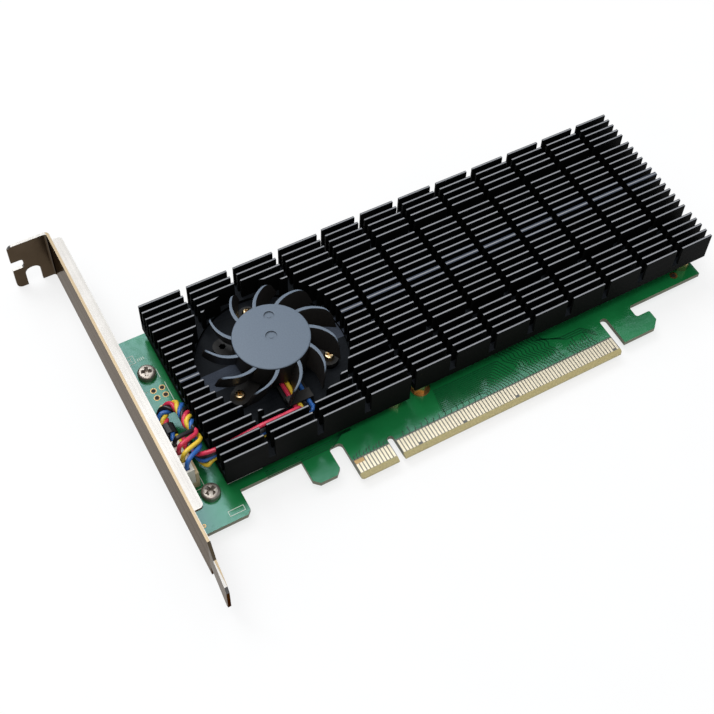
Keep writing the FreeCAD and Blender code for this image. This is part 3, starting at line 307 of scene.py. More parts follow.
def material_board():
    """Green solder mask over the weave, with bare laminate on the edges and between the contacts."""
    shader = Shader("solder_mask")
    shader.set(shader.surface, "Specular IOR Level", 0.95)
    shader.set(shader.surface, "Specular Tint", (0.62, 0.90, 1.0))
    flat = shader.maths("GREATER_THAN", shader.maths("ABSOLUTE", shader.facing("Z")), 0.97)
    above = shader.past("Y", CONTACT_HIGH.y + MASK_MARGIN)
    on_tongue = shader.both(shader.past("X", TONGUE_X[0]), shader.before("X", TONGUE_X[1]))
    covered = shader.maths("MAXIMUM", above, shader.maths("SUBTRACT", 1.0, on_tongue))
    masked = shader.both(flat, covered)
    blotches = shader.noise(shader.coordinates, 1 / (14 * MM), 2.0)
    weave = shader.noise(shader.scaled((1.0, 1.0, 0.0)), 1 / (0.5 * MM), 2.0)
    green = shader.ramp(blotches, (0.35, (0.006, 0.152, 0.037)), (0.65, (0.011, 0.206, 0.054)))
    edge = shader.ramp(weave, (0.3, (0.10, 0.085, 0.028)), (0.7, (0.15, 0.125, 0.045)))
    bevel = shader.ramp(weave, (0.3, (0.38, 0.30, 0.11)), (0.7, (0.50, 0.40, 0.17)))
    between = shader.ramp(weave, (0.3, (0.115, 0.095, 0.075)), (0.7, (0.16, 0.135, 0.11)))
    front = shader.before("Y", CONTACT_LOW.y - BEVEL_MARGIN)
    bare = shader.mix(flat, shader.mix(front, edge, bevel), shader.mix(front, between, bevel))
    shader.set(shader.surface, "Base Color", shader.mix(masked, bare, green))
    shader.set(shader.surface, "Roughness", shader.spread(masked, 0.0, 1.0, 0.55, 0.2))
    ripples = shader.noise(shader.scaled((1.0, 1.6, 1.0)), 1 / (3.2 * MM), 1.5)
    fine = shader.maths("MULTIPLY", weave, 0.1)
    shader.bump(shader.maths("ADD", fine, shader.maths("MULTIPLY", ripples, 2.2)), 0.02)
    return shader.material


# Beside a heatsink's middle fin lie an inner group of fins and, set a little off its pitch, an outer group
FIN_PITCH = 2.36
FIN_THICKNESS = 0.68
CROWN_SHARE = 0.56
INNER_FINS = 6
OUTER_FINS = 5
TOP_MARGIN = 0.3
# Half width of the band, about the drive heatsink's middle, where a painted reflection line lies along the
# channel floors
REFLECTION_REACH = 3.0


def fin_crowns(shader, sink):
    """1 along the middle of each of a heatsink's fin tops, where a highlight is painted, 0 on their two
    edges.
    """
    low, high = corners_mm(sink)
    reach = 0.5 * (high.y - low.y) - 0.5 * FIN_THICKNESS
    distance = shader.away("Y", middle_mm(sink).y)
    outer = shader.maths("GREATER_THAN", distance, (INNER_FINS + 0.5) * FIN_PITCH * MM)
    shift = reach - (INNER_FINS + OUTER_FINS) * FIN_PITCH
    place = shader.maths("SUBTRACT", distance, shader.maths("MULTIPLY", outer, shift * MM))
    off = shader.maths("PINGPONG", place, 0.5 * FIN_PITCH * MM)
    return shader.maths("LESS_THAN", off, 0.5 * CROWN_SHARE * FIN_THICKNESS * MM)


def material_anodised():
    """Black anodised extrusion, drawn along its fins, with a painted highlight along the middle of each fin
    top, painted light on the faces that look up and a painted reflection line along the middle channel.
    """
    shader = Shader("black_anodised")
    shader.set(shader.surface, "Specular IOR Level", 0.06)
    lines = shader.noise(shader.scaled((30.0, 1500.0, 1500.0)), 1.0, 3.0)
    speckle = shader.noise(shader.coordinates, 1 / (0.35 * MM), 2.0)
    grain = shader.maths("ADD", shader.maths("MULTIPLY", lines, 0.5), shader.maths("MULTIPLY", speckle, 0.5))
    # Faces that look up are painted lighter and bluer than the dark sides, as light from above; near the
    # drive heatsink's middle a brighter painted reflection line runs along the channel.
    up = shader.maths("GREATER_THAN", shader.facing("Z"), 0.9)
    top = shader.both(up, shader.past("Z", FIN_TOP_Z - TOP_MARGIN))
    side = shader.ramp(grain, (0.35, (0.0022, 0.0024, 0.0022)), (0.65, (0.0045, 0.0048, 0.0046)))
    reflection_band = shader.maths("LESS_THAN", shader.away("Y", middle_mm("drive_heatsink").y), REFLECTION_REACH * MM)
    shaded = shader.ramp(grain, (0.35, (0.007, 0.009, 0.011)), (0.65, (0.012, 0.014, 0.018)))
    painted_reflection_line = shader.ramp(grain, (0.35, (0.042, 0.052, 0.074)), (0.65, (0.066, 0.078, 0.104)))
    floor = shader.mix(reflection_band, shaded, painted_reflection_line)
    # Painted highlight: a pale grey band along the middle of each fin top.
    painted_highlight_top = shader.ramp(grain, (0.3, (0.20, 0.205, 0.22)), (0.7, (0.36, 0.365, 0.38)))
    left = shader.both(fin_crowns(shader, "controller_heatsink"), shader.before("X", BETWEEN_SINKS_X))
    right = shader.both(fin_crowns(shader, "drive_heatsink"), shader.past("X", BETWEEN_SINKS_X))
    top_highlight_band = shader.both(top, shader.maths("MAXIMUM", left, right))
    shader.set(shader.surface, "Base Color", shader.mix(top_highlight_band, shader.mix(up, side, floor), painted_highlight_top))
    smooth = shader.spread(grain, 0.3, 0.7, 0.42, 0.58)
    rougher = shader.spread(up, 0.0, 1.0, 0.25, 0.0)
    shader.set(shader.surface, "Roughness", shader.maths("ADD", smooth, rougher))
    shader.bump(grain, 0.02, 0.4)
    return shader.material


def material_impeller():
    """Moulded grey plastic: pale where it faces up, with painted shade, a near-black brown, on the upright
    faces.
    """
    shader = Shader("fan_plastic")
    shader.set(shader.surface, "Specular IOR Level", 0.25)
    grain = shader.noise(shader.coordinates, 1 / (0.4 * MM))
    # Painted shade: faces that don't look up take a near-black brown in place of the grey.
    up = shader.spread(shader.facing("Z"), 0.42, 0.66)
    face = shader.ramp(grain, (0.3, (0.013, 0.012, 0.011)), (0.7, (0.019, 0.017, 0.016)))
    edge = shader.ramp(grain, (0.3, (0.128, 0.162, 0.208)), (0.7, (0.146, 0.183, 0.232)))
    shader.set(shader.surface, "Base Color", shader.mix(up, face, edge))
    shader.set(shader.surface, "Roughness", shader.spread(grain, 0.3, 0.7, 0.36, 0.46))
    shader.bump(grain, 0.01)
    return shader.material


BEND_MARGIN = 0.1


def material_bracket():
    """Nickel plated steel, drawn along its length, gold along the bend, with painted shade on its upright
    faces, which take a dark brown.
    """
    shader = Shader("bracket_nickel", Metallic=1.0)
    lines = shader.noise(shader.scaled((900.0, 22.0, 900.0)), 1.0, 4.0)
    clouds = shader.noise(shader.coordinates, 1 / (9 * MM), 3.0)
    upward = shader.maths("GREATER_THAN", shader.facing("Z"), 0.5)
    outward = shader.maths("LESS_THAN", shader.facing("X"), -0.5)
    bent = shader.both(shader.before("X", BEND_X), shader.past("X", BRACKET_FACE_X - BEND_MARGIN))
    # Painted shade: faces that don't look up take a dark brown, a little less dark on the outer face, and
    # only faces that look up keep the nickel colour.
    plain = shader.ramp(clouds, (0.3, (0.225, 0.212, 0.198)), (0.7, (0.255, 0.242, 0.228)))
    painted_shade_upright = shader.ramp(clouds, (0.3, (0.062, 0.045, 0.030)), (0.7, (0.080, 0.059, 0.040)))
    outer = shader.ramp(clouds, (0.3, (0.094, 0.083, 0.071)), (0.7, (0.118, 0.105, 0.091)))
    topside = shader.mix(bent, plain, (0.20, 0.155, 0.10))
    sides = shader.mix(outward, painted_shade_upright, outer)
    shader.set(shader.surface, "Base Color", shader.mix(upward, sides, topside))
    shader.set(shader.surface, "Specular Tint", (0.34, 0.29, 0.24))
    shader.set(shader.surface, "Roughness", shader.spread(lines, 0.3, 0.7, 0.16, 0.24))
    shader.bump(lines, 0.01, 0.3)
    return shader.material


def material_plating(name, colour, roughness, direction, scale=900.0):
    """Plated or brushed metal, with fine lines along one axis."""
    shader = Shader(name, Metallic=1.0)
    stretch = [scale] * 3
    stretch[direction] = scale / 40
    lines = shader.noise(shader.scaled(tuple(stretch)), 1.0, 4.0)
    clouds = shader.noise(shader.coordinates, 1 / (9 * MM), 3.0)
    darker = tuple(value * 0.86 for value in colour)
    shader.set(shader.surface, "Base Color", shader.ramp(clouds, (0.3, darker), (0.7, colour)))
    shader.set(shader.surface, "Roughness",
               shader.spread(lines, 0.3, 0.7, roughness * 0.8, roughness * 1.2))
    shader.bump(lines, 0.01, 0.4)
    return shader.material


# Meshes


def mesh_object(name, points, faces, material, smooth=False):
    """Object from points in millimetres."""
    mesh = bpy.data.meshes.new(name)
    mesh.from_pydata([Vector(point) * MM for point in points], [], faces)
    mesh.update()
    if smooth:
        mesh.polygons.foreach_set("use_smooth", [True] * len(mesh.polygons))
    mesh.materials.append(material)
    made = bpy.data.objects.new(name, mesh)
    scene.collection.objects.link(made)
    return made


def polar(centre, radius, degrees, z):
    angle = math.radians(degrees)
    return Vector((centre[0] + radius * math.cos(angle), centre[1] + radius * math.sin(angle), z))


def arc(centre, radius, first, last, steps):
    """Points (across, up) along an arc between two angles in degrees."""
    angles = [math.radians(first + (last - first) * step / steps) for step in range(steps + 1)]
    return [(centre[0] + radius * math.cos(angle), centre[1] + radius * math.sin(angle)) for angle in angles]


class Build:
    """Collects points and faces of many small forms into one mesh."""

    def __init__(self):
        self.points = []
        self.faces = []

    def add(self, points, faces):
        start = len(self.points)
        self.points += [Vector(point) for point in points]
        self.faces += [tuple(start + number for number in face) for face in faces]

    def revolve(self, profile, centre, sides, closed=False):
        """Turns (radius, z) points round a vertical axis; radius 0 ends become one point."""
        points, rows = [], []
        for radius, z in profile:
            if radius < 1e-6:
                rows.append([len(points)] * sides)
                points.append((centre[0], centre[1], z))
                continue
            rows.append([len(points) + number for number in range(sides)])
            for number in range(sides):
                points.append(polar(centre, radius, 360 * number / sides, z))
        faces = []
        pairs = list(zip(rows, rows[1:]))
        if closed:
            pairs.append((rows[-1], rows[0]))
        for lower, upper in pairs:
            for number in range(sides):
                following = (number + 1) % sides
                face = [lower[number], lower[following], upper[following], upper[number]]
                face = [corner for index, corner in enumerate(face) if corner != face[index - 1]]
                if len(face) > 2:
                    faces.append(tuple(face))
        self.add(points, faces)

    def disc(self, centre, radius, low_z, high_z, sides):
        self.revolve([(0, low_z), (radius, low_z), (radius, high_z), (0, high_z)], centre, sides)

    def washer(self, centre, inner, outer, low_z, high_z, sides):
        profile = [(inner, low_z), (outer, low_z), (outer, high_z), (inner, high_z)]
        self.revolve(profile, centre, sides, closed=True)

    def grid(self, rows, closed=False):
        """Quads between rows of points."""
        width = len(rows[0])
        faces = []
        for row in range(len(rows) - 1):
            for column in range(width if closed else width - 1):
                following = (column + 1) % width
                faces.append((row * width + column, row * width + following,
                              (row + 1) * width + following, (row + 1) * width + column))
        self.add([point for row in rows for point in row], faces)

    def object(self, name, material, smooth=False):
        made = mesh_object(name, self.points, self.faces, material, smooth)
        edit = bmesh.new()
        edit.from_mesh(made.data)
        bmesh.ops.remove_doubles(edit, verts=edit.verts, dist=1e-7)
        bmesh.ops.recalc_face_normals(edit, faces=edit.faces)
        edit.to_mesh(made.data)
        edit.free()
        return made


def apply_modifiers(made):
    """Puts what the modifiers make into the object's own mesh."""
    bpy.context.view_layer.update()
    evaluated = made.evaluated_get(bpy.context.evaluated_depsgraph_get())
    mesh = bpy.data.meshes.new_from_object(evaluated)
    made.modifiers.clear()
    made.data = mesh


def subtract(made, cutter, crossing=False):
    """Cuts one object out of another and removes the cutter, whose own forms may cross each other."""
    modifier = made.modifiers.new("cut", "BOOLEAN")
    modifier.operation = "DIFFERENCE"
    modifier.solver = "EXACT"
    modifier.use_self = crossing
    modifier.object = cutter
    apply_modifiers(made)
    bpy.data.objects.remove(cutter)


def smooth_by_angle(made, degrees=35.0):
    """Smooth shading apart from edges sharper than an angle."""
    made.data.polygons.foreach_set("use_smooth", [True] * len(made.data.polygons))
    made.data.set_sharp_from_angle(angle=math.radians(degrees))


# Screws

PHILLIPS_WIDTH = 0.44
PHILLIPS_REACH = 0.64
PHILLIPS_POINT = 0.35
HEAD_ROUND = 0.42
HEAD_FLAT = 0.55
HEAD_DOME = (0.02, 0.03)
HEAD_SIDES = 48
PAST = 0.2
FIRST_TURN = 25
NEXT_TURN = 47
# Head radius, height and seat level
BRACKET_SCREW = (2.55, 1.8, 0.0)
BRACKET_SCREW_PLACES = ((-48.85, 14.7), (-48.85, 55.8))
FAN_SCREW = (1.45, 1.4, 7.4)
FAN_SCREW_RADIUS = 15.4
FAN_SCREW_ANGLES = (90, -30, -150)


def cross_recess(cutters, centre, top_z, radius, height, degrees):
    """Two tapered bars that cross at right angles."""
    for arm in (0, 90):
        along = polar((0, 0), 1.0, degrees + arm, 0)
        across = Vector((-along.y, along.x, 0))
        rows = []
        for level, share in ((top_z + PAST, 1.0), (top_z - (1 - PHILLIPS_POINT) * height, PHILLIPS_POINT)):
            reach = along * radius * PHILLIPS_REACH * share
            width = across * radius * PHILLIPS_WIDTH * (0.5 + 0.5 * share)
            rows.append([Vector((*centre, level)) + reach * a + width * b
                         for a, b in ((1, 0.5), (-1, 0.5), (-1, -0.5), (1, -0.5))])
        cutters.grid(rows, closed=True)
        base = len(cutters.points) - 8
        cutters.faces.append((base, base + 1, base + 2, base + 3))
        cutters.faces.append((base + 7, base + 6, base + 5, base + 4))


def pan_heads(name, places, sizes, finish, replaced):
    """Pan heads with a cross recess, each turned a little differently."""
    radius, height, seat_z = sizes
    top_z = seat_z + height
    edge = HEAD_ROUND * height
    profile = [(0, seat_z), (radius, seat_z)]
    profile += arc((radius - edge, top_z - edge), edge, 0, 90, 6)
    profile += [(HEAD_FLAT * radius, top_z + HEAD_DOME[0]), (0, top_z + HEAD_DOME[1])]
    heads, cutters = Build(), Build()
    for number, place in enumerate(places):
        heads.revolve(profile, place, HEAD_SIDES)
        cross_recess(cutters, place, top_z, radius, height, FIRST_TURN + NEXT_TURN * number)
    made = heads.object(name, MATERIALS[finish])
    subtract(made, cutters.object(name + "_cutter", MATERIALS[finish]), crossing=True)
    smooth_by_angle(made)
    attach(made, "card")
    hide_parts(replaced)


def screws():
    fan_places = [polar(FAN_CENTRE, FAN_SCREW_RADIUS, degrees, 0)[:2] for degrees in FAN_SCREW_ANGLES]
    pan_heads("bracket_screw_heads", BRACKET_SCREW_PLACES, BRACKET_SCREW,
              "nickel_screw", "bracket_screws")
    pan_heads("fan_screw_heads", fan_places, FAN_SCREW, "screw_brass", "fan_screws")


# Fan

BLADES = 11
BLADE_ROOT_RADIUS = 9.9
BLADE_TIP_RADIUS = 18.1
BLADE_SWEEP = 24.4
BLADE_BOW = 2.4
BLADE_LEAN = 2.3
BLADE_THICKNESS = 0.95
BLADE_TAPER = 0.35
BLADE_FLARE = 0.15
BLADE_CORNER_START = 0.8
BLADE_CORNER_DROP = 0.4
BLADE_TIP_RISE = 0.12
BLADE_EDGE = 0.16
BLADE_EDGE_ANGLE = math.radians(50)
BLADE_TOP_Z = 16.4
BLADE_LOW_Z = 9.8
FIRST_BLADE_TIP = 99.0
HUB_RADIUS = 10.6
HUB_LOW_Z = 9.5
HUB_WALL = 0.8
HUB_ROOF = 1.3
HUB_EDGE = 0.45
HUB_SIDES = 96
# Distance from the centre, angle and radius
DIMPLES = ((0.0, 0.0, 1.6), (6.6, 69.0, 1.45))
DIMPLE_DEPTH = 0.45
DIMPLE_CHAMFER = 0.1
DIMPLE_SIDES = 40
GATE_SHARE = 0.35
GATE_HEIGHT = 0.12


def hub():
    """Hollow cup with a rounded rim, and moulding gates in two dimples."""
    inner = HUB_RADIUS - HUB_WALL
    roof_z = HUB_TOP - HUB_ROOF
    profile = [(0, HUB_TOP)]
    profile += arc((HUB_RADIUS - HUB_EDGE, HUB_TOP - HUB_EDGE), HUB_EDGE, 90, 0, 6)
    profile += [(HUB_RADIUS, HUB_LOW_Z), (inner, HUB_LOW_Z), (inner, roof_z), (0, roof_z)]
    cup = Build()
    cup.revolve(profile, FAN_CENTRE, HUB_SIDES)
    made = cup.object("impeller", MATERIALS["fan_plastic"])
    floor = HUB_TOP - DIMPLE_DEPTH
    cutters = Build()
    for distance, degrees, radius in DIMPLES:
        dimple = [(0, HUB_TOP + 1), (radius, HUB_TOP + 1), (radius, floor + DIMPLE_CHAMFER)]
        dimple += [(radius - DIMPLE_CHAMFER, floor), (GATE_SHARE * radius, floor)]
        dimple += [(GATE_SHARE * radius, floor + GATE_HEIGHT), (0, floor + GATE_HEIGHT)]
        cutters.revolve(dimple, polar(FAN_CENTRE, distance, degrees, 0), DIMPLE_SIDES)
    subtract(made, cutters.object("dimple_cutter", MATERIALS["fan_plastic"]))
    return made


def blade_point(share, height, side):
    """Point on a blade with its tip at angle 0: share is from root to tip, height 0 to 1, side -1 or 1."""
    outward = BLADE_FLARE * (1 - height) * share ** 6
    radius = BLADE_ROOT_RADIUS + share * (BLADE_TIP_RADIUS - BLADE_ROOT_RADIUS + outward)
    degrees = BLADE_SWEEP * (1 - share) + BLADE_BOW * math.sin(math.pi * share)
    tip_taper = 1 - BLADE_TAPER * share ** 3
    half = math.degrees(0.5 * BLADE_THICKNESS * tip_taper / radius) / math.cos(math.radians(BLADE_SWEEP))
    corner = max(0.0, (share - BLADE_CORNER_START) / (1 - BLADE_CORNER_START))
    top = 1 - BLADE_CORNER_DROP * (1 - math.sqrt(max(0.0, 1 - corner ** 2.4)))
    low = BLADE_TIP_RISE * share ** 4
    level = low + height * (top - low)
    lean = polar((0, 0), BLADE_LEAN * (1 - level), 0.5 * BLADE_SWEEP - 90, 0)
    place = polar((0, 0), radius, degrees + side * half, 0) + lean
    place.z = BLADE_LOW_Z + level * (BLADE_TOP_Z - BLADE_LOW_Z)
    return place


def blades():
    """Swept blades that lean forward, as one ring, with their edges rounded."""
    steps, levels = 22, 12
    shares = [math.sin(0.5 * math.pi * number / steps) for number in range(steps + 1)]
    heights = [number / levels for number in range(levels + 1)]
    forms = Build()
    for number in range(BLADES):
        turn = Matrix.Rotation(math.radians(FIRST_BLADE_TIP - number * 360 / BLADES), 3, "Z")
        rows = []
        for height in heights:
            ring = [blade_point(share, height, -1) for share in shares]
            ring += [blade_point(share, height, 1) for share in reversed(shares)]
            rows.append([turn @ point + Vector((FAN_CENTRE.x, FAN_CENTRE.y, 0)) for point in ring])
        forms.grid(rows, closed=True)
        width = len(rows[0])
        base = len(forms.points) - width * len(rows)
        top = base + width * (len(rows) - 1)
        for step in range(steps):
            for start, flip in ((base, False), (top, True)):
                a, b = start + step, start + step + 1
                c, d = start + width - 2 - step, start + width - 1 - step
                forms.faces.append((a, b, c, d) if flip else (d, c, b, a))
    made = forms.object("impeller_blades", MATERIALS["fan_plastic"])
    bevel = made.modifiers.new("edges", "BEVEL")
    bevel.width = BLADE_EDGE * MM
    bevel.segments = 2
    bevel.limit_method = "ANGLE"
    bevel.angle_limit = BLADE_EDGE_ANGLE
    apply_modifiers(made)
    return made


def fan_rotor():
    cup = hub()
    smooth_by_angle(cup, 30)
    ring = blades()
    smooth_by_angle(ring, 50)
    for piece in (cup, ring):
        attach(piece, "fan_rotor")
    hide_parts("fan_impeller")


# Fan lead: each strand follows its own way out of the fan and the lead's common line through the loop

WIRE_RADIUS = 0.62
LEAD_LINE = (
    (-48.7, 25.2, 5.2), (-48.8, 28.6, 4.9), (-51.8, 30.7, 4.9), (-52.0, 38.15, 5.2),
    (-50.35, 39.74, 5.9), (-48.06, 39.66, 6.7), (-46.53, 37.96, 7.5), (-46.7, 33.4, 9.6),
    (-47.3, 29.4, 10.9),
)
CHANNEL_Y = 19.93
CHANNEL_END_X = -45.44
CHANNEL_ENTRY = 5.0
# How far before the channel's end a strand's change of level starts and stops
CHANNEL_FALL = (13.0, 4.0)
CLIP_X = FAN_CENTRE.x
WIRE_SPACING = 1.35
WIRE_START_Y = 32.05
CLIP_WAY_Y = (27.0, 23.4, 22.1)
WIRE_LIE_Z = 8.05
# clip: place across the clip; levels: in the channel and where it ends; turn: beside the channel's end;
# way_in: from the bundle to the plug; pin_y and over_z: where and how high it goes over the plug
STRANDS = {
    "black": {
        "clip": 0.5,
        "levels": (9.8, 9.8),
        "turn": (-48.0, 20.6, 9.0),
        "way_in": ((-46.3, 27.9, 10.9), (-50.3, 27.1, 12.2)),
        "pin_y": 26.91,
        "over_z": 12.0,
    },
    "red": {
        "clip": -1.5,
        "levels": (12.7, 11.0),
        "turn": (-48.6, 21.2, 9.9),
        "way_in": ((-45.9, 26.7, 10.9), (-49.9, 25.0, 12.6)),
        "pin_y": 24.37,
        "over_z": 12.2,
    },
    "yellow": {
        "clip": -0.5,
        "levels": (7.1, 7.1),
        "turn": (-47.6, 18.9, 5.9),
        "way_in": ((-46.0, 26.8, 8.9), (-46.3, 24.3, 11.0), (-49.7, 22.8, 12.3)),
        "pin_y": 21.83,
        "over_z": 12.0,
    },
    "blue": {
        "clip": 1.5,
        "levels": (8.45, 8.45),
        "turn": (-48.4, 20.2, 7.4),
        "way_in": ((-46.6, 25.6, 8.2), (-47.4, 22.3, 10.9), (-50.4, 20.7, 12.2)),
        "pin_y": 19.29,
        "over_z": 11.6,
    },
}
PLUG_X = -52.75
PLUG_WIRE_Z = 7.5
TWIST_PITCH = 7.6
TWIST_RADIUS = 1.06
TWIST_FADE = 3.5
# Turn of the first strand about the bundle's line where the bundle ends
TWIST_END = math.radians(194.0)


def smooth_points(controls):
    """Points along the NURBS spline that these control points give."""
    curve = bpy.data.curves.new("way", "CURVE")
    curve.dimensions = "3D"
    spline = curve.splines.new("NURBS")
    spline.points.add(len(controls) - 1)
    for point, place in zip(spline.points, controls):
        point.co = (*(Vector(place) * MM), 1.0)
    spline.order_u = 3
    spline.use_endpoint_u = True
    spline.resolution_u = 12
    way = bpy.data.objects.new("way", curve)
    scene.collection.objects.link(way)
    bpy.context.view_layer.update()
    mesh = bpy.data.meshes.new_from_object(way)
    points = [vertex.co.copy() / MM for vertex in mesh.vertices]
    bpy.data.objects.remove(way)
    bpy.data.curves.remove(curve)
    bpy.data.meshes.remove(mesh)
    return points


def nearest(points, place):
    """Number of the point that lies nearest to a place."""
    return min(range(len(points)), key=lambda index: (points[index] - Vector(place)).length)


def direction(points, index):
    """Direction of a line of points at one of them."""
    before, after = points[max(0, index - 1)], points[min(len(points) - 1, index + 1)]
    return (after - before).normalized()


def twisted(points, phase):
    """Winds a strand round the lead's line where the lead is one bundle."""
    start, end = nearest(points, LEAD_LINE[0]), nearest(points, LEAD_LINE[-1])
    length = [0.0]
    for before, after in zip(points, points[1:]):
        length.append(length[-1] + (after - before).length)
    wound = []
    for index, point in enumerate(points):
        along = direction(points, index)
        side = Vector((along.y, -along.x, 0)).normalized()
        over = side.cross(along)
        here = length[index] - length[start]
        inside = min(here, length[end] - length[start] - here)
        weight = min(1.0, max(0.0, inside / TWIST_FADE + 0.5))
        weight = weight * weight * (3 - 2 * weight)
        left = length[end] - length[index]
        angle = phase + TWIST_END + 2 * math.pi * left / TWIST_PITCH
        wound.append(point + (side * math.cos(angle) + over * math.sin(angle)) * TWIST_RADIUS * weight)
    return wound


def round_tube(name, points, radius, material, sides=12):
    """Tube of even thickness along close points."""
    forms = Build()
    rows = []
    normal = Vector((0, 0, 1))
    for index, point in enumerate(points):
        along = direction(points, index)
        normal = (normal - along * normal.dot(along)).normalized()
        across = along.cross(normal)
        rows.append([point + (normal * math.cos(angle) + across * math.sin(angle)) * radius
                     for angle in (2 * math.pi * number / sides for number in range(sides))])
    forms.grid(rows, closed=True)
    base = len(forms.points) - sides
    forms.faces += [tuple(range(sides))[::-1], tuple(range(base, base + sides))]
    return forms.object(name, material, smooth=True)


def strand_controls(strand):
    """A strand's way from the fan through the clip and the channel, round the loop and into the plug."""
    x = CLIP_X + strand["clip"] * WIRE_SPACING
    level, exit_level = strand["levels"]
    controls = [(x, y, WIRE_LIE_Z) for y in (WIRE_START_Y, *CLIP_WAY_Y)]
    fall_x, fallen_x = (CHANNEL_END_X + distance for distance in CHANNEL_FALL)
    controls += [(way_x, CHANNEL_Y, level) for way_x in (x, x - CHANNEL_ENTRY, fall_x)]
    controls += [(way_x, CHANNEL_Y, exit_level) for way_x in (fallen_x, CHANNEL_END_X)]
    controls += [strand["turn"], *LEAD_LINE, *strand["way_in"]]
    controls += [(PLUG_X, strand["pin_y"], z) for z in (strand["over_z"], PLUG_WIRE_Z)]
    return controls


def fan_lead():
    for number, (colour, strand) in enumerate(STRANDS.items()):
        points = twisted(smooth_points(strand_controls(strand)), number * 0.5 * math.pi)
        wire = round_tube("strand_" + colour, points, WIRE_RADIUS, MATERIALS["wire_" + colour])
        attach(wire, "card")
        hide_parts("fan_wire_" + colour)


# Board details: thin layers on the board, whose undersides lie just inside it

LAYER_LOW_Z = -0.02
TRACE_Z = 0.035
INK_Z = 0.05
PAD_Z = 0.04
HOLE_Z = 0.02
PIN_PITCH = 1.0
FIRST_PIN_X = CONTACT_LOW.x + 0.35
PIN_END_Y = CONTACT_HIGH.y - 0.1
SINK_EDGE_Y = 16.5
TRACE_WIDTH = 0.26
INK_WIDTH = 0.17


def ribbon(forms, points, width=TRACE_WIDTH, top_z=TRACE_Z):
    """Flat strip with a little thickness along points on the board."""
    places = [Vector((x, y, 0)) for x, y in points]
    rows = []
    for index, place in enumerate(places):
        before, after = places[max(0, index - 1)], places[min(len(places) - 1, index + 1)]
        first = (place - before).normalized() if index else (after - place).normalized()
        second = (after - place).normalized() if index < len(places) - 1 else first
        along = (first + second).normalized()
        across = Vector((-along.y, along.x, 0)) * (0.5 * width / max(0.5, along.dot(first)))
        rows.append([place + across * side + Vector((0, 0, z)) for side, z in
                     ((-1, top_z), (1, top_z), (1, LAYER_LOW_Z), (-1, LAYER_LOW_Z))])
    start = len(forms.points)
    forms.grid(rows, closed=True)
    end = len(forms.points) - 4
    forms.faces += [(start + 3, start + 2, start + 1, start), (end, end + 1, end + 2, end + 3)]


def on_board(forms, name, finish):
    made = forms.object(name, MATERIALS[finish])
    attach(made, "card")


def side_tracks(forms):
    """Tracks that run beside each other along the card, then turn down to their contacts."""
    for number in range(13):
        level = 7.3 + 0.58 * number
        pin = 30.5 + PIN_PITCH * number
        turn = pin - 1.0 - 0.42 * (level - 6.4)
        ribbon(forms, [(16.5 + 0.1 * number, level), (turn, level), (turn + 0.5, level - 0.25),
                       (pin - 0.1, 6.9), (pin, 6.4), (pin, PIN_END_Y)])


def snaked_tracks(forms):
    """Tracks that swing from side to side on their way under the heatsink, as matched lengths do."""
    steps = 32
    foot_y = 6.5
    for number in range(13):
        pin = 44.5 + PIN_PITCH * number
        points = [(pin, PIN_END_Y), (pin, foot_y + 0.05 * number)]
        for step in range(1, steps + 1):
            share = step / steps
            phase = 2 * math.pi * (2.6 * share + 0.04 * number)
            swing = 0.5 * math.sin(phase) * math.sin(math.pi * share)
            x = pin - (5.5 - 0.22 * number) * share + swing
            points.append((x, foot_y + (SINK_EDGE_Y - foot_y) * share - 0.3 * swing))
        ribbon(forms, points)


def short_tracks(forms):
    """Stubs that end a little above the contacts."""
    for number in range(9):
        pin = 59.5 + PIN_PITCH * number
        reach = 1.4 + 0.75 * (number % 4)
        ribbon(forms, [(pin, PIN_END_Y), (pin, 6.6), (pin - 0.7, 7.3), (pin - 0.7, 7.3 + reach)])
    for number in range(14):
        pin = 3.5 + 1.9 * number
        reach = (0.9, 1.6, 0.6)[number % 3]
        ribbon(forms, [(pin, PIN_END_Y), (pin, 6.1), (pin + 0.35, 6.45), (pin + 0.35, 6.45 + reach)])
    for number in range(11):
        pin = FIRST_PIN_X + PIN_PITCH * number
        rise = 0.35 * (number % 3)
        ribbon(forms, [(pin, PIN_END_Y), (pin, 6.4 + rise), (pin + 0.5, 7.0 + rise)])


def loose_tracks(forms):
    """Two small groups away from the contacts."""
    for offset in (0.0, 0.7, 1.4):
        ribbon(forms, [(52.0 + offset, 15.0), (59.0 + offset, 12.5 - offset), (66.0, 12.5 - offset),
                       (69.0, 9.5 - offset)])
    for offset in (0.0, 0.6, 1.2, 1.8):
        end_y = 14.2 + 0.3 * offset
        ribbon(forms, [(-34.0, 11.9 + offset), (-14.5, 11.9 + offset), (-11.0, end_y), (-8.0, end_y)])


def traces():
    """Tracks under the mask between the contacts and the heatsinks."""
    forms = Build()
    side_tracks(forms)
    snaked_tracks(forms)
    short_tracks(forms)
    loose_tracks(forms)
    on_board(forms, "board_traces", "trace")


LEGEND_OUTLINES = (
    ((-43.5, 17.9), (-43.8, 15.1), (-34.0, 15.15), (-33.8, 16.0)),
    ((-47.2, 6.4), (-43.0, 6.4), (-43.0, 7.9), (-47.2, 7.9), (-47.2, 6.3)),
    ((-49.35, 17.2), (-49.35, 29.0), (-55.9, 29.0)),
    ((-55.9, 17.2), (-49.35, 17.2)),
    ((-55.9, 50.6), (-51.0, 50.6)),
    ((-52.6, 60.8), (-50.0, 60.8), (-50.0, 63.4), (-52.6, 63.4), (-52.6, 60.7)),
    ((-52.0, 61.4), (-50.6, 62.8)),
    ((-52.0, 62.8), (-50.6, 61.4)),
    ((-46.0, 53.4), (-46.0, 56.4)),
    ((-45.6, 44.9), (-45.6, 51.6)),
)
TICK_START = (-49.2, 60.9)
TICK_LENGTH = 1.0
TICK_SPACING = 0.55
TICKS = 4


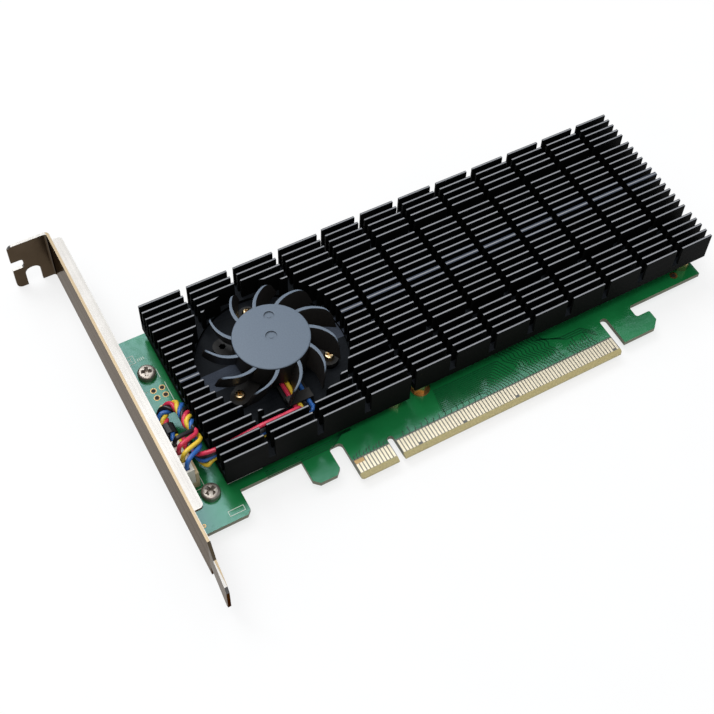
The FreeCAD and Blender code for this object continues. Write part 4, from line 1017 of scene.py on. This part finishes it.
def legend():
    """Plain outlines and ticks in the legend ink, with no lettering."""
    forms = Build()
    for points in LEGEND_OUTLINES:
        ribbon(forms, points, INK_WIDTH, INK_Z)
    for number in range(TICKS):
        x = TICK_START[0] + TICK_SPACING * number
        ribbon(forms, [(x, TICK_START[1]), (x, TICK_START[1] + TICK_LENGTH)], INK_WIDTH, INK_Z)
    on_board(forms, "board_legend", "ink")


PLATED_HOLES = ((-49.4, 50.2), (-46.9, 50.2), (-49.4, 47.7), (-46.9, 47.7), (-49.4, 44.2), (-46.9, 44.2))
PLATED_RING = (0.64, 0.875)
PLATED_SHADOW = 0.66
TEST_POINT = (-54.2, 7.2)
TEST_POINT_RING = (0.2, 0.55)
# Place, outer radius and inner radius of the bare copper rings
COPPER_RINGS = (((15.1, 16.8), 2.75, 1.55), ((101.65, 15.1), 1.2, 0.65))
SMALL_SIDES = 32
LARGE_SIDES = 48
KEY_BAR_Y = 4.9
KEY_BAR_REACH = (-0.35, 2.35)
KEY_BAR_WIDTH = 1.2
KEY_BAR_RISE = 0.01


def plated_holes():
    """Plated rings, bare copper rings, dark discs that paint the shadow in their holes, and the bar that
    joins the first contacts.
    """
    rings, holes, copper = Build(), Build(), Build()
    for place in PLATED_HOLES:
        rings.washer(place, *PLATED_RING, LAYER_LOW_Z, PAD_Z, SMALL_SIDES)
        holes.disc(place, PLATED_SHADOW, LAYER_LOW_Z, HOLE_Z, SMALL_SIDES)
    rings.washer(TEST_POINT, *TEST_POINT_RING, LAYER_LOW_Z, PAD_Z, SMALL_SIDES)
    for place, outer, inner in COPPER_RINGS:
        copper.washer(place, inner, outer, LAYER_LOW_Z, PAD_Z, LARGE_SIDES)
        holes.disc(place, inner, LAYER_LOW_Z, HOLE_Z, LARGE_SIDES)
    key_bar = [(FIRST_PIN_X + reach, KEY_BAR_Y) for reach in KEY_BAR_REACH]
    ribbon(rings, key_bar, KEY_BAR_WIDTH, CONTACT_HIGH.z + KEY_BAR_RISE)
    on_board(rings, "plated_rings", "pad_gold")
    on_board(copper, "copper_rings", "copper")
    on_board(holes, "hole_shadows", "hole")


# Finishes: every material, and the one that each CAD node takes


def dress_nodes():
    """Gives every CAD node its material."""
    for name, finish in NODE_FINISH.items():
        slots = nodes[name].data.materials
        slots.clear()
        slots.append(MATERIALS[finish])


MATERIALS = {
    "board": material_board(),
    "trace": noisy("trace_mask", (0.002, 0.060, 0.020), 0.1, 0.3, 2.0),
    "ink": noisy("legend_ink", (0.62, 0.70, 0.60), 0.06, 0.6, 0.3),
    "hole": noisy("hole_dark", (0.012, 0.010, 0.008), 0.2, 0.7, 0.3),
    "gold": noisy("contact_gold", (0.88, 0.79, 0.60), 0.05, 0.42, 1.2, 0.01, Metallic=0.6),
    "pad_gold": material_plating("pad_gold", (0.48, 0.32, 0.15), 0.4, 1),
    "nickel_plate": material_bracket(),
    "nickel_screw": noisy("screw_nickel", (0.36, 0.32, 0.28), 0.08, 0.34, 0.8, 0.01, Metallic=0.7),
    "brass": material_plating("brass", (0.72, 0.50, 0.24), 0.25, 2),
    "screw_brass": material_plating("screw_brass", (0.66, 0.51, 0.30), 0.25, 2),
    "steel": material_plating("shaft_steel", (0.55, 0.55, 0.56), 0.25, 2),
    "laminations": material_plating("stator_steel", (0.30, 0.29, 0.28), 0.45, 0, 3000.0),
    "copper": material_plating("copper", (0.42, 0.24, 0.09), 0.4, 0),
    "anodised": material_anodised(),
    "fan_plastic": material_impeller(),
    "dark_plastic": noisy("dark_plastic", (0.014, 0.013, 0.0125), 0.12, 0.5, 0.5, 0.01,
                          Specular_IOR_Level=0.3),
    "socket_plastic": noisy("socket_plastic", (0.02, 0.02, 0.022), 0.1, 0.5, 0.5, 0.01),
    "beige_plastic": noisy("beige_plastic", (0.62, 0.50, 0.30), 0.06, 0.45, 0.5, 0.01),
    "white_plastic": noisy("white_plastic", (0.79, 0.76, 0.66), 0.04, 0.4, 0.5, 0.01),
    "package": noisy("chip_package", (0.02, 0.025, 0.02), 0.1, 0.6, 0.3, 0.01),
    "pad": noisy("thermal_pad", (0.28, 0.30, 0.34), 0.1, 0.8, 0.4, 0.02),
    "magnet": noisy("magnet", (0.03, 0.03, 0.035), 0.1, 0.6, 0.3, 0.01),
    "ceramic": noisy("ceramic", (0.34, 0.22, 0.13), 0.12, 0.45, 0.25, 0.01),
    "sleeve": noisy("sleeve_rubber", (0.012, 0.012, 0.013), 0.2, 0.5, 0.4, 0.01),
    "wire_black": noisy("wire_black", (0.012, 0.012, 0.014), 0.2, 0.32, 0.8, 0.01),
    "wire_red": noisy("wire_red", (0.66, 0.035, 0.085), 0.08, 0.32, 0.8, 0.01),
    "wire_yellow": noisy("wire_yellow", (0.84, 0.58, 0.05), 0.08, 0.32, 0.8, 0.01),
    "wire_blue": noisy("wire_blue", (0.030, 0.135, 0.45), 0.08, 0.32, 0.8, 0.01),
}
NODE_FINISH = {
    "pcb": "board",
    "edge_contacts_component_side": "gold",
    "edge_contacts_solder_side": "gold",
    "io_bracket": "nickel_plate",
    "bracket_screws": "nickel_screw",
    "controller_heatsink": "anodised",
    "drive_heatsink": "anodised",
    "heatsink_standoffs": "brass",
    "heatsink_screws": "nickel_screw",
    "fan_frame": "dark_plastic",
    "fan_bearing": "brass",
    "fan_circuit_board": "board",
    "fan_stator": "laminations",
    "fan_screws": "screw_brass",
    "fan_shaft": "steel",
    "fan_magnet_ring": "magnet",
    "fan_impeller": "fan_plastic",
    "cable_clip": "dark_plastic",
    "fan_wire_black": "wire_black",
    "fan_wire_red": "wire_red",
    "fan_wire_yellow": "wire_yellow",
    "fan_wire_blue": "wire_blue",
    "cable_sleeve": "sleeve",
    "fan_plug": "white_plastic",
    "fan_header": "beige_plastic",
    "fan_header_pins": "gold",
    "switch_chip": "package",
    "chip_thermal_pad": "pad",
    "m2_socket_1": "socket_plastic",
    "m2_socket_2": "socket_plastic",
    "m2_standoffs": "brass",
    "drive_thermal_pads": "pad",
    "coupling_capacitors": "ceramic",
    "supply_capacitors": "ceramic",
}

# The whole scene

add_camera()
add_world()
for light in LIGHTS:
    add_area_light(*light)
add_floor()
dress_nodes()
fan_rotor()
fan_lead()
traces()
legend()
plated_holes()
screws()
